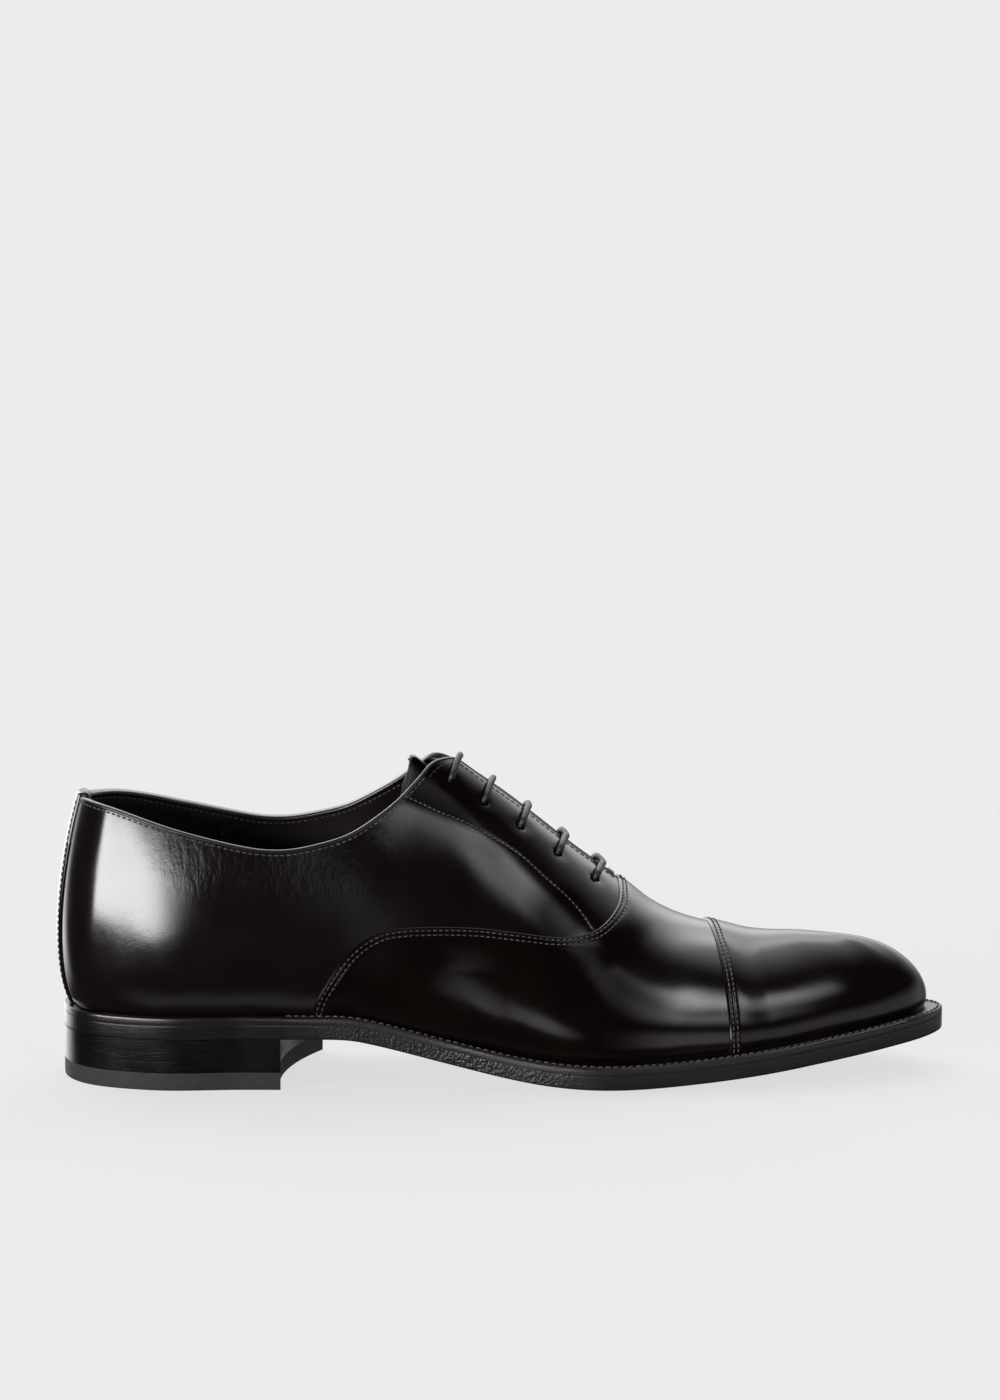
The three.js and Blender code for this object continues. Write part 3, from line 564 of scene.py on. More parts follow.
CAP_X, CAP_SLANT = 71.3, 0.08
FLAP_BACK_X, FLAP_FRONT_X = -33.5, 29.0
FACING_GAP = 1.4
EYELET_X = [31.8, 19.4, 7.2, -5.2, -17.4]
EYELET_FROM_EDGE = 12.5
CORNER_SHARP = 45.0
LACE_RADIUS = 1.15


def crest_at(x):
    return solve(lambda a: rib(a)[2] - x, 5, TOE)


crest_places = np.linspace(5.1, TOE - 0.2, 500)
crest_points = last_point(crest_places, 1.0)
crest_rise = np.argsort(crest_points[:, 0])
crest_points = crest_points[crest_rise]


def crest_y(x):
    return np.where(x < -22, 2.6, np.interp(x, crest_points[:, 0], crest_points[:, 1]))


class Side:
    """One side of the shoe: -1 lateral, +1 medial."""

    def __init__(self, name, sign):
        self.name, self.sign = name, sign

    def to(self, a):
        return a if self.sign < 0 else AROUND - a

    def foot(self, x):
        low, high = (1, TOE - 1) if self.sign < 0 else (TOE + 1, AROUND - 1)
        return solve(lambda a: rib(a)[0] - x, low, high)

    def lift(self, x):
        return 0 * x if self.sign < 0 else medial_lift(x)

    def topline_v(self, a, down=0.0):
        return first_v(a, lambda p: p[..., 2] - lateral_topline(p[..., 0])
                       - self.lift(p[..., 0]) + down)

    def edge_v(self, a):
        return first_v(a, lambda p: FACING_GAP - self.sign * (p[..., 1] - crest_y(p[..., 0])))

    def high_v(self, a):
        """The cut edge of the quarter: the topline, a round corner, then the facing's edge."""
        top, edge = self.topline_v(a), self.edge_v(a)
        low, gap = np.minimum(top, edge), np.abs(top - edge)
        return low - np.log1p(np.exp(-CORNER_SHARP * gap)) / CORNER_SHARP

    def seam_v(self, a, away=0.0):
        v = first_v(a, lambda p: p[..., 2] - vamp_seam(p[..., 0] + away) - away)
        return np.where(rib(a)[..., 0] < WING_BACK_X - 3, 0.0, v)

    def line_v(self, a, line):
        return first_v(a, lambda p: p[..., 2] - line(p[..., 0]))


LATERAL, MEDIAL = Side("lateral", -1), Side("medial", 1)
SIDES = (LATERAL, MEDIAL)


def flap(side):
    """Middle of the line where a facing bends away, and the direction across it."""
    a, b = side.foot(FLAP_BACK_X), side.foot(FLAP_FRONT_X)
    back = last_point(a, side.topline_v(a))
    front = last_point(b, side.seam_v(b))
    middle = (a + b) / 2
    height = (back[2] + front[2]) / 2
    v = first_v(middle, lambda p: p[..., 2] - height)
    across = unit(np.cross(unit(front - back), last_normal(middle, v)))
    across = across if across[2] > 0 else -across
    return (back + front) / 2, across


# ---- meshes from grids ----
def make_object(name, points, faces, material, wear=None, sharp=35):
    mesh = bpy.data.meshes.new(name)
    mesh.from_pydata((np.asarray(points) * MM).tolist(), [], faces)
    work = bmesh.new()
    work.from_mesh(mesh)
    bmesh.ops.recalc_face_normals(work, faces=work.faces)
    work.to_mesh(mesh)
    work.free()
    mesh.shade_smooth()
    mesh.set_sharp_from_angle(angle=math.radians(sharp))
    if wear is not None:
        layer = mesh.attributes.new("wear", "FLOAT", "POINT")
        layer.data.foreach_set("value", np.asarray(wear, np.float32))
    mesh.materials.append(material)
    made = bpy.data.objects.new(name, mesh)
    bpy.context.collection.objects.link(made)
    return made


def weld(grids):
    """Joins grids of points (last axis: x, y, z and any extra values) where they meet."""
    flat = np.concatenate([g.reshape(-1, g.shape[-1]) for g in grids])
    keys = np.round(flat[:, :3] * 2000).astype(np.int64)
    _, first, index = np.unique(keys, axis=0, return_index=True, return_inverse=True)
    index = index.reshape(-1)
    ids, start = [], 0
    for g in grids:
        n, m = g.shape[:2]
        ids.append(index[start:start + n * m].reshape(n, m))
        start += n * m
    return flat[first], ids


def quads(ids):
    """Faces of index grids, without repeated corners."""
    faces = []
    for g in ids:
        block = np.stack((g[:-1, :-1], g[1:, :-1], g[1:, 1:], g[:-1, 1:]), -1).reshape(-1, 4)
        ordered = np.sort(block, axis=1)
        whole = (ordered[:, 1:] != ordered[:, :-1]).all(1)
        faces += block[whole].tolist()
        for face in block[~whole].tolist():
            short = [v for i, v in enumerate(face) if v != face[i - 1]]
            if len(short) >= 3 and len(set(short)) == len(short):
                faces.append(short)
    return faces


def closed_skin(name, patches, material, sharp=35):
    """A closed piece from patches of (outer, inner, wear) grids, walled at the open edges."""
    grids = [np.concatenate((o, i, w[..., None]), -1) for o, i, w in patches]
    points, ids = weld(grids)
    count = len(points)
    outer = quads(ids)
    faces = outer + [[v + count for v in reversed(f)] for f in outer]
    pairs = np.array([(f[i - 1], f[i]) for f in outer for i in range(len(f))])
    code = np.minimum(pairs[:, 0], pairs[:, 1]) * count + np.maximum(pairs[:, 0], pairs[:, 1])
    _, where, times = np.unique(code, return_index=True, return_counts=True)
    for p, q in pairs[where[times == 1]].tolist():
        faces.append([q, p, p + count, q + count])
    both = np.concatenate((points[:, :3], points[:, 3:6]))
    wear = np.concatenate((points[:, 6], points[:, 6]))
    return make_object(name, both, faces, material, wear, sharp)


def closed_grids(name, grids, material, sharp=35):
    """A closed piece whose grids already meet all round."""
    points, ids = weld(grids)
    return make_object(name, points[:, :3], quads(ids), material, None, sharp)


def distance(points, line):
    """Shortest distance from each point to a polyline."""
    shape = points.shape[:-1]
    p = points.reshape(-1, 3)
    a, d = line[:-1], line[1:] - line[:-1]
    keep = (d ** 2).sum(1) > 1e-12
    a, d = a[keep], d[keep]
    dd = (d ** 2).sum(1)
    out = np.empty(len(p))
    for s in range(0, len(p), 6000):
        q = p[s:s + 6000]
        along = q @ d.T - (a * d).sum(1)
        t = np.clip(along / dd, 0, 1)
        far = (q ** 2).sum(1)[:, None] + (a ** 2).sum(1) - 2 * q @ a.T - 2 * t * along \
            + t * t * dd
        out[s:s + 6000] = np.sqrt(np.maximum(far.min(1), 0))
    return out.reshape(shape)


def length_of(points):
    return np.concatenate(([0], np.cumsum(np.linalg.norm(np.diff(points, axis=0), axis=1))))


def columns(start, end, lines, pitch):
    """Places on the loop so that no line steps more than the pitch between two of them."""
    fine = np.linspace(start, end, 700)
    jumps = np.zeros(len(fine) - 1)
    for line in lines:
        p = last_point(fine, line(fine))
        jumps = np.maximum(jumps, np.linalg.norm(np.diff(p, axis=0), axis=1))
    density = pitch(last_point(fine, 0.5)[:-1, 0]) if callable(pitch) else pitch
    run = np.concatenate(([0], np.cumsum(jumps / density)))
    count = max(int(np.ceil(run[-1])), 4)
    return np.interp(np.linspace(0, run[-1], count + 1), run, fine)


EDGE_ROWS = np.array([0, 0.18, 0.4, 0.7, 1.0, 1.25, 1.5, 1.8, 2.1, 2.4, 2.7, 3.0, 3.4, 4.0])
NO_ROWS = np.array([0.0])


BALL_X, BALL_Z, BALL_RISE = 61, 20.5, 0.35      # where the vamp is fullest, low at the ball


def uneven(p):
    """The slight waviness that lasted leather has, a little stronger near the sole."""
    x, y, z = p[..., 0], p[..., 1], p[..., 2]
    wave = np.sin(x / 5.3 + y / 7.1 + 0.6) * np.sin(z / 4.1 - x / 11.0 + 1.9) \
        + 0.7 * np.sin(x / 9.7 - z / 6.3 + 0.4) * np.sin(y / 5.9 + z / 9.1) \
        + 0.5 * np.sin(x / 3.1 + z / 3.7) * np.sin(y / 3.3 - x / 6.1 + 2.2)
    low = 1 - step(z - welt_top(x), 2, 22)
    full = BALL_RISE * np.exp(-((x - BALL_X) / 15) ** 2 - ((z - BALL_Z) / 6) ** 2)
    return wave * (0.018 + 0.03 * low) + full


def skin_patch(places, v, height, thick, wear):
    """Outer and inner skin over a grid; places and v have the same shape."""
    height = height + uneven(last_point(places, v))
    return surface(places, v, height), surface(places, v, height - thick), wear


# ---- stitches ----
def stitch_row(name, path, pitch, material=None, radius=0.26, share=0.72, up=0.1):
    """Short rounded threads laid end to end along a path of (point, normal)."""
    points, normals = path
    run = length_of(points)
    count = max(int(run[-1] / pitch), 1)
    centres = (np.arange(count) + 0.5) * run[-1] / count
    half = share * run[-1] / count / 2

    def at(values, s):
        return np.stack([np.interp(s, run, values[:, k]) for k in range(3)], -1)
    c, n = at(points, centres), unit(at(normals, centres))
    t = unit(at(points, np.minimum(centres + half, run[-1])) - at(points, centres - half))
    b = np.cross(n, t)
    sides, profile = 6, [(-1.0, 0.35, -0.6), (-0.72, 0.85, 0.25), (0.0, 1.0, 0.55),
                         (0.72, 0.85, 0.25), (1.0, 0.35, -0.6)]
    turn = np.arange(sides) * 2 * math.pi / sides
    all_points, faces = [], []
    ring = len(profile) * sides
    for along, wide, rise in profile:
        centre = c + t * (half * along) + n * (up + radius * rise)
        for angle in turn:
            all_points.append(centre + (b * math.cos(angle) + n * math.sin(angle) * 0.9)
                              * (radius * wide))
    stack = np.stack(all_points, 1)
    pattern = [[i * sides + k, i * sides + (k + 1) % sides, (i + 1) * sides + (k + 1) % sides,
                (i + 1) * sides + k] for i in range(len(profile) - 1) for k in range(sides)]
    pattern += [list(range(sides))[::-1], list(range(ring - sides, ring))]
    for i in range(count):
        faces += [[i * ring + v for v in f] for f in pattern]
    return make_object(name, stack.reshape(-1, 3), faces, material or THREAD, None, 80)


def path_on(places, v, height=0.0):
    return surface(places, v, height), last_normal(places, v)


def offset_path(path, inward, reference):
    """The path moved over the surface by some distance, towards the side of a reference."""
    points, normals = path
    along = unit(np.gradient(points, axis=0))
    across = np.cross(normals, along)
    if ((reference - points) * across).sum() < 0:
        across = -across
    return points + across * inward, normals


# ---- the upper ----
UNDERLAP = 2.5
RAISED = 0.85
THICK = 1.3


def spaced(start, end, at, near_start, near_end, pitch):
    """Values between start and end: at set distances near both ends, even between them."""
    t = np.linspace(0, 1, 80)
    values = start[:, None] + (end - start)[:, None] * t
    points = at(values)
    jumps = np.linalg.norm(np.diff(points, axis=1), axis=2)
    run = np.concatenate((np.zeros((len(start), 1)), np.cumsum(jumps, axis=1)), 1)
    inner = max(int(run[:, -1].max() / pitch), 3)
    out = []
    for i in range(len(start)):
        full = max(run[i, -1], 1e-9)
        first = near_start * min(1, 0.4 * full / max(near_start[-1], 1e-9))
        last = full - near_end[::-1] * min(1, 0.4 * full / max(near_end[-1], 1e-9))
        middle = np.linspace(first[-1], last[0], inner + 1)[1:-1]
        out.append(np.interp(np.concatenate((first, middle, last)), run[i], values[i]))
    return np.array(out)


def up_rib(places, low, high, near_low, near_high, pitch):
    return spaced(low, high, lambda v: last_point(places[:, None], v), near_low, near_high,
                  pitch)


def rides(piece, slot, *nodes, body="root"):
    """A piece that moves with one body: the nodes it stands for are hidden, and slot, its
    material's slot, is not used.
    """
    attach(piece, body)
    if nodes:
        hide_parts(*nodes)


def bends(piece, side, slot, *nodes):
    """A piece on a side's facing: its transform is baked in and the nodes it stands for are hidden;
    the facing's hinge is found but the piece is not bent.
    """
    middle, across = flap(side)
    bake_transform(piece)
    if nodes:
        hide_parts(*nodes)


def eyelet_place(side, x):
    a = side.foot(x)
    crest = last_point(a, side.edge_v(a))
    v = first_v(a, lambda p: EYELET_FROM_EDGE - np.linalg.norm(p - crest, axis=-1))
    return a, v


def rounded(d, width=0.6, drop=0.4):
    """How much a cut edge falls away near its very end."""
    return -drop * (1 - np.clip(d / width, 0, 1)) ** 2


def seam_line(side):
    start, end = side.foot(WING_BACK_X), side.to(crest_at(THROAT_X))
    places = columns(start, end, [side.seam_v], 0.5)
    return places, side.seam_v(places)


SEAM = {side.name: seam_line(side) for side in SIDES}


HOLE_DEPTH, HOLE_WALL = 2.3, (0.9, 1.75)        # a lace hole, and the radii of its wall


def make_quarter(side):
    """A quarter and its facing in one skin, with punched lace holes."""
    start, end = side.to(0.02), side.to(crest_at(THROAT_X))
    low = lambda a: side.seam_v(a, -UNDERLAP)
    places = columns(start, end, [low, side.high_v],
                     lambda x: np.where(x > -26, 0.55, 0.95))
    v = up_rib(places, low(places), side.high_v(places), np.array([0, 0.8, 1.6]), EDGE_ROWS,
               0.75)
    a = np.broadcast_to(places[:, None], v.shape)
    p = last_point(a, v)
    top = last_point(places, side.high_v(places))
    d = distance(p, top)
    line_places = np.linspace(side.foot(FLAP_BACK_X), side.foot(FLAP_FRONT_X + 0.4), 200)
    line = last_point(line_places, side.line_v(line_places, facing_line))
    to_line = distance(p, line)
    ahead = np.where(p[..., 2] > facing_line(p[..., 0]), to_line, -to_line)
    within = step(p[..., 0], -34, -30)
    height = rounded(d) - 0.04 * dip(to_line, 0, 0.5) + 0.04 * step(ahead, -0.3, 0.9) * within
    wear = np.exp(-d / 0.5) * 0.7 + 0.5 * dip(to_line, 0, 0.5)
    for x in EYELET_X:
        r = np.linalg.norm(p - last_point(*eyelet_place(side, x)), axis=-1)
        height -= HOLE_DEPTH * (1 - step(r, *HOLE_WALL)) + 0.3 * dip(r, 0, 3.0)
        wear += 0.8 * dip(r, 1.8, 0.4)
    piece = closed_skin(side.name + "_quarter_skin", [skin_patch(a, v, height, THICK, wear)],
                        UPPER)
    bends(piece, side, "upper_leather", side.name + "_quarter", side.name + "_facing")
    path = path_on(line_places, side.line_v(line_places, facing_line), 0.0)
    row = stitch_row(side.name + "_facing_stitches", path, 1.7, radius=0.28, share=0.78)
    bends(row, side, "upper_leather")


SEAM_ROWS = (1.25, 2.75)       # the two stitch rows' distances from the lapped edge
SEAM_PITCH = 1.95
FURROW = 0.11


def seam_profile(d):
    """Height of a skin that laps over its neighbour, with two stitch furrows near its edge."""
    return RAISED * (1 - step(d, 3.2, 15)) + rounded(d, 0.5, 0.42) \
        - FURROW * dip(d, SEAM_ROWS[0], 0.38) - FURROW * dip(d, SEAM_ROWS[1], 0.38)


def seam_wear(d):
    return 0.8 * np.exp(-d / 0.35) + 0.45 * (dip(d, SEAM_ROWS[0], 0.4) + dip(d, SEAM_ROWS[1], 0.4))


def lapped_thickness(d, height):
    return lerp(height + 0.1, THICK, step(d, 3, 10))


def cap_place(side, v, ahead=0.0):
    """Where each row of the cap's edge lies on the loop."""
    v = np.asarray(v, float)
    low, high = np.full_like(v, side.to(8)), np.full_like(v, side.to(11))
    for _ in range(34):
        mid = (low + high) / 2
        p = last_point(mid, v)
        on = p[..., 0] + CAP_SLANT * p[..., 1] - CAP_X - ahead > 0
        high, low = np.where(on, mid, high), np.where(on, low, mid)
    return (low + high) / 2


def cap_line(side, ahead=0.0):
    v = np.linspace(0, 1, 160)
    return cap_place(side, v, ahead), v


def make_vamp():
    """The vamp in four patches, lapped over the quarters and under the cap."""
    line = np.concatenate([last_point(*SEAM["lateral"]), last_point(*SEAM["medial"])[::-1]])
    patches = []
    for side in SIDES:
        start, end = SEAM[side.name][0][[0, -1]]
        places = columns(start, end, [side.seam_v, lambda a: 0 * a], 0.8)
        v = up_rib(places, 0 * places, side.seam_v(places), np.array([0, 0.5, 1.2, 2.2]),
                   EDGE_ROWS, 1.0)
        a = np.broadcast_to(places[:, None], v.shape)
        last_v = v[-1]
        front = spaced(np.full(len(last_v), places[-1]), cap_place(side, last_v, 3.0),
                       lambda q: last_point(q, last_v[:, None]), NO_ROWS, NO_ROWS, 1.0)
        for grid_a, grid_v in ((a, v), (front, np.broadcast_to(last_v[:, None], front.shape))):
            d = distance(last_point(grid_a, grid_v), line)
            height = seam_profile(d)
            patches.append(skin_patch(grid_a, grid_v, height, lapped_thickness(d, height),
                                      seam_wear(d)))
    piece = closed_skin("vamp_skin", patches, VAMP)
    rides(piece, "upper_leather", "vamp")


def make_cap():
    """The toe cap in two patches, lapped over the vamp."""
    lines = [last_point(*cap_line(side)) for side in SIDES]
    line = np.concatenate([lines[0], lines[1][::-1]])
    patches = []
    v = np.linspace(0, 1, 70)
    for side in SIDES:
        a = spaced(cap_place(side, v), np.full(len(v), float(TOE)),
                   lambda q: last_point(q, v[:, None]), EDGE_ROWS, NO_ROWS, 0.9)
        grid_v = np.broadcast_to(v[:, None], a.shape)
        d = distance(last_point(a, grid_v), line)
        height = seam_profile(d)
        patches.append(skin_patch(a, grid_v, height, lapped_thickness(d, height),
                                  seam_wear(d)))
    piece = closed_skin("toe_cap_skin", patches, UPPER)
    rides(piece, "upper_leather", "toe_cap")


def root_row(name, path, pitch, **options):
    rides(stitch_row(name, path, pitch, **options), "upper_leather")


def make_seam_stitches():
    """Two rows along the vamp's edge and two along the cap's."""
    sunk = RAISED - 0.12
    for side in SIDES:
        for number, far in enumerate(SEAM_ROWS):
            path = path_on(*SEAM[side.name], sunk)
            moved = offset_path(path, far, last_point(side.foot(0.0), 0.1))
            root_row(f"{side.name}_vamp_stitches_{number + 1}", moved, SEAM_PITCH)
    for number, far in enumerate(SEAM_ROWS):
        parts = [path_on(*cap_line(side, far), sunk) for side in SIDES]
        path = tuple(np.concatenate((parts[0][k], parts[1][k][::-1][1:])) for k in (0, 1))
        root_row(f"cap_stitches_{number + 1}", path, SEAM_PITCH)


def topline_frame(side):
    """Points on a quarter's cut edge, with the outward and the away direction at each."""
    start, end = side.to(0.0), side.to(crest_at(THROAT_X - 1.2))
    places = columns(start, end, [side.high_v], 0.9)
    points, normals = path_on(places, side.high_v(places))
    for _ in range(3):
        points[1:-1] = (points[:-2] + 2 * points[1:-1] + points[2:]) / 4
    along = unit(np.gradient(points, axis=0))
    up = unit(np.cross(normals, along))
    up = up if up[0, 2] > 0 else -up
    return points, unit(np.cross(along, up) * np.sign((np.cross(along, up) * normals)
                                                      .sum(-1, keepdims=True))), up


BEAD = np.array([[-1.0, -0.20], [-0.98, 0.16], [-0.75, 0.28], [-0.45, 0.34], [-0.1, 0.30],
                 [0.15, 0.16], [0.33, -0.1], [0.42, -0.6], [0.44, -1.3], [0.42, -2.0],
                 [0.3, -2.5], [0.05, -2.8], [-0.4, -2.95], [-0.8, -2.95], [-1.0, -2.85],
                 [-1.02, -2.3], [-0.7, -1.9], [-0.7, -0.6]])


CORNER_X = -27.0                # behind this the stitches follow the topline
TOPLINE_ROW, FACING_ROW = (1.55, 0.31), (2.7, 0.16)     # distance from the edge, and radius


def make_binding(side):
    """The rolled edge round the opening, and its row of stitches."""
    points, normals, up = topline_frame(side)
    thin = lerp(1.0, 0.72, step(points[:, 0], -22, -8))[:, None, None]
    ring = points[:, None] + up[:, None] * BEAD[None, :, :1] * thin \
        + normals[:, None] * BEAD[None, :, 1:] * np.where(BEAD[None, :, 1:] > 0, thin, 1.0)
    ring = np.concatenate((ring, ring[:, :1]), 1)
    middle = ring[:, :-1].mean(1, keepdims=True)
    ends = [np.concatenate((np.repeat(middle[i:i + 1], ring.shape[1], 1), ring[i:i + 1]))
            for i in (0, -1)]
    piece = closed_grids(side.name + "_binding", [ring] + ends, BINDING, 50)
    bends(piece, side, "upper_leather", *(["topline_binding"] if side.sign < 0 else []))
    behind = points[:, 0] < CORNER_X
    for name, part, (inward, radius) in (("topline", behind, TOPLINE_ROW),
                                         ("facing_edge", ~behind, FACING_ROW)):
        path = ((points - up * inward - normals * 0.02)[part], normals[part])
        row = stitch_row(f"{side.name}_{name}_stitches", path, 2.1, radius=radius, share=0.8,
                         up=0.02)
        bends(row, side, "upper_leather")
    back = points[:, 0] < -34
    path = ((points - up * 1.9 - normals * 2.74)[back], -normals[back])
    row = stitch_row(side.name + "_lining_stitches", path, 2.0, up=0.02)
    bends(row, side, "lining_leather")


STRIP_HALF = 0.3
STRIP_WRAP = np.array([[0.5, 0.95, 0.3, 0.05], [1.2, 0.6, 0.7, -0.1], [1.65, -0.2, 1.0, -0.6],
                       [1.75, -1.3, 1.1, -1.4], [1.6, -2.5, 0.95, -2.2],
                       [1.1, -3.4, 0.6, -2.7], [-0.3, -4.0, -0.4, -3.2],
                       [-3.0, -4.4, -3.0, -3.4]])
WRAP_FOLLOW = np.array([1, 1, 0.6, 0, -0.6, -1, -1, -1])    # how its edges' fall goes round


def make_back_strip():
    """The strip over the back seam, turned over the opening's edge at its top."""
    places = np.linspace(-STRIP_HALF, STRIP_HALF, 25)
    low = 0 * places
    top_v = np.where(places < 0, MEDIAL.topline_v(places + AROUND), LATERAL.topline_v(places))
    v = up_rib(places, low, top_v, np.array([0, 0.6, 1.4]), NO_ROWS, 1.1)
    a = np.broadcast_to(places[:, None], v.shape)
    p = last_point(a, v)
    edge = np.minimum(distance(p, p[0]), distance(p, p[-1]))
    height = 0.85 + rounded(edge, 0.7, 0.5) - 0.15 * dip(edge, 1.6, 0.4)
    outer, inner = surface(a, v, height), surface(a, v, -0.05)
    top, normal = path_on(places, top_v)
    up = unit(last_point(places, top_v) - last_point(places, top_v - 0.02))
    drop = (height[:, -1:] - 0.85)
    wrap = [top[:, None] + up[:, None] * STRIP_WRAP[None, :, k:k + 1]
            + normal[:, None] * (STRIP_WRAP[None, :, k + 1:k + 2]) for k in (0, 2)]
    wrap[0] = wrap[0] + normal[:, None] * (drop[:, :, None] * WRAP_FOLLOW[None, :, None])
    wear = 0.6 * np.exp(-edge / 0.5)
    grid_wear = np.concatenate((wear, np.full((len(places), len(STRIP_WRAP)), 0.35)), 1)
    piece = closed_skin("back_strip_skin",
                        [(np.concatenate((outer, wrap[0]), 1), np.concatenate((inner, wrap[1]), 1),
                          grid_wear)], UPPER, 50)
    rides(piece, "upper_leather", "back_strip")
    for number, side_sign in enumerate((-1, 1)):
        place = side_sign * STRIP_HALF * 0.77
        t = np.linspace(0.01, 0.985, 60)
        side = MEDIAL if place < 0 else LATERAL
        loop = place + AROUND if place < 0 else place
        top_here = side.topline_v(np.array([loop]))[0]
        path = path_on(np.full(60, place), t * top_here, 0.76)
        root_row(f"back_strip_stitches_{number + 1}", path, 2.0, radius=0.2, up=0.0)


LINING_SEAM_X = -93.0
LINING_DEPTH, COUNTER_ROOM = 1.85, 1.45     # under the last's surface; more over the counter


def make_lining(side):
    """The lining of a quarter and its facing, thicker behind the heel lining's front seam."""
    start, end = side.to(0.0), side.to(crest_at(THROAT_X - 2))
    high = lambda a: np.maximum(side.high_v(a) - 0.006, 0)
    places = columns(start, end, [lambda a: 0 * a, high], 1.3)
    v = up_rib(places, 0 * places, high(places), NO_ROWS, np.array([0, 0.7, 1.5, 2.4]), 1.6)
    a = np.broadcast_to(places[:, None], v.shape)
    p = last_point(a, v)
    d = distance(p, last_point(places, high(places)))
    behind = 1 - step(p[..., 0], -60, -35)
    depth = LINING_DEPTH + COUNTER_ROOM * step(d, 2.5, 16) * behind
    over = 0.55 * (1 - step(p[..., 0] - LINING_SEAM_X, -0.4, 0.4))
    fade = step(d, 0.5, 3.0)
    # A light line painted along the heel lining's seam edge: a painted highlight where that edge
    # would catch the light. It joins the lining's real edge wear in the attribute that lightens the
    # leather's colour.
    painted_seam_highlight = 1.2 * np.exp(-np.abs(p[..., 0] - LINING_SEAM_X) / 0.3)
    patch = (surface(a, v, -depth - 0.9 - over * fade), surface(a, v, -depth),
             0.6 * np.exp(-d) + painted_seam_highlight)
    piece = closed_skin(side.name + "_lining_skin", [patch], LINING)
    nodes = [side.name + "_quarter_lining", side.name + "_facing_stay"]
    bends(piece, side, "lining_leather", *nodes, *(["heel_lining"] if side.sign < 0 else []))
    t = np.linspace(0.25, 0.93, 60)
    loop = side.foot(LINING_SEAM_X - 1.6)
    top = side.topline_v(np.array([loop]))[0]
    vv = t * top
    q = last_point(loop, vv)
    far = distance(q, last_point(places, high(places)))
    depth = LINING_DEPTH + COUNTER_ROOM * step(far, 2.5, 16)
    points = surface(np.full(60, loop), vv, -depth - 1.46)
    row = stitch_row(side.name + "_lining_seam_stitches",
                     (points, -last_normal(np.full(60, loop), vv)), 2.2)
    rides(row, "lining_leather")


TONGUE_FRONT_X, TONGUE_TOP_X, TONGUE_STRAIGHT_X, TONGUE_RISE = 50.0, -27.0, -20.0, -0.5
TONGUE_ROUND, TONGUE_CORNER, TONGUE_FLARE = 5.0, 12.0, 1.6
TONGUE_REACH, TONGUE_SWEEP = 0.34, 0.42     # share of each rib it covers; how its corners sweep


def tongue_points(x, q, depth):
    """Points of the tongue: x along it, q from its lateral edge (-1) to its medial edge (1)."""
    a = np.array([crest_at(value) for value in np.maximum(x, TONGUE_STRAIGHT_X)])
    extra = np.minimum(x - TONGUE_STRAIGHT_X, 0)
    reach = TONGUE_REACH * np.minimum((TONGUE_FRONT_X + 16 - x) / 40, 1)
    round_off = np.clip((TONGUE_TOP_X + TONGUE_ROUND - x) / TONGUE_ROUND, 0, 1)
    reach = reach * (0.8 + 0.2 * np.sqrt(1 - round_off ** 2))
    grid_a = np.where(q[None, :] < 0, a[:, None], AROUND - a[:, None])
    flare = TONGUE_FLARE * (1 - step(x, TONGUE_TOP_X, TONGUE_TOP_X + 8))[:, None]
    p = surface(grid_a, 1 - np.abs(q)[None, :] * reach[:, None], flare - depth)
    p[..., 0] += extra[:, None]
    p[..., 2] += extra[:, None] * TONGUE_RISE
    drop = np.minimum(p[..., 2].max(1, keepdims=True) - p[..., 2], TONGUE_CORNER)
    near_top = 1 - step(x, TONGUE_TOP_X, TONGUE_TOP_X + 24)
    p[..., 0] -= TONGUE_SWEEP * drop * near_top[:, None]
    return p


def make_tongue():
    """The tongue and its lining, their edges pared thin."""
    x = np.concatenate((np.linspace(TONGUE_FRONT_X, TONGUE_TOP_X + 1.2, 75),
                        [TONGUE_TOP_X + 0.5, TONGUE_TOP_X]))
    q = np.concatenate(([-1, -0.985], np.linspace(-0.95, 0.95, 47), [0.985, 1]))
    ends = 1 - step(x, TONGUE_TOP_X, TONGUE_TOP_X + 0.9)
    soft = np.maximum(np.abs(q)[None, :] ** 14, ends[:, None])
    for name, low, high, node in (("tongue_skin", 7.8, 9.1, "tongue"),
                                  ("tongue_lining_skin", 9.15, 10.2, "tongue_lining")):
        outer = tongue_points(x, q, low + 0.45 * soft)
        inner = tongue_points(x, q, high - 0.3 * soft)
        piece = closed_skin(name, [(outer, inner, 0.5 * soft)],
                            TONGUE if node == "tongue" else LINING, 60)
        rides(piece, "upper_leather" if node == "tongue" else "lining_leather", node,
              body="tongue")


# ---- lace ----
def catmull(points, pitch):
    """A centripetal curve through points, sampled at an even pitch."""
    p = np.asarray(points, float)
    p = np.concatenate((2 * p[:1] - p[1:2], p, 2 * p[-1:] - p[-2:-1]))
    out = []
    for i in range(1, len(p) - 2):
        q = p[i - 1:i + 3]
        knots = np.concatenate(([0], np.cumsum(np.linalg.norm(np.diff(q, axis=0), axis=1) ** 0.5)))
        t = np.linspace(knots[1], knots[2], 24, endpoint=False)[:, None]
        a = [(knots[k + 1] - t) / (knots[k + 1] - knots[k]) * q[k]
             + (t - knots[k]) / (knots[k + 1] - knots[k]) * q[k + 1] for k in range(3)]
        b = [(knots[k + 2] - t) / (knots[k + 2] - knots[k]) * a[k]
             + (t - knots[k]) / (knots[k + 2] - knots[k]) * a[k + 1] for k in range(2)]
        out.append((knots[2] - t) / (knots[2] - knots[1]) * b[0]
                   + (t - knots[1]) / (knots[2] - knots[1]) * b[1])
    out.append(p[-2:-1])
    curve = np.concatenate(out)
    run = length_of(curve)
    even = np.linspace(0, run[-1], int(run[-1] / pitch) + 1)
    return np.stack([np.interp(even, run, curve[:, k]) for k in range(3)], -1)


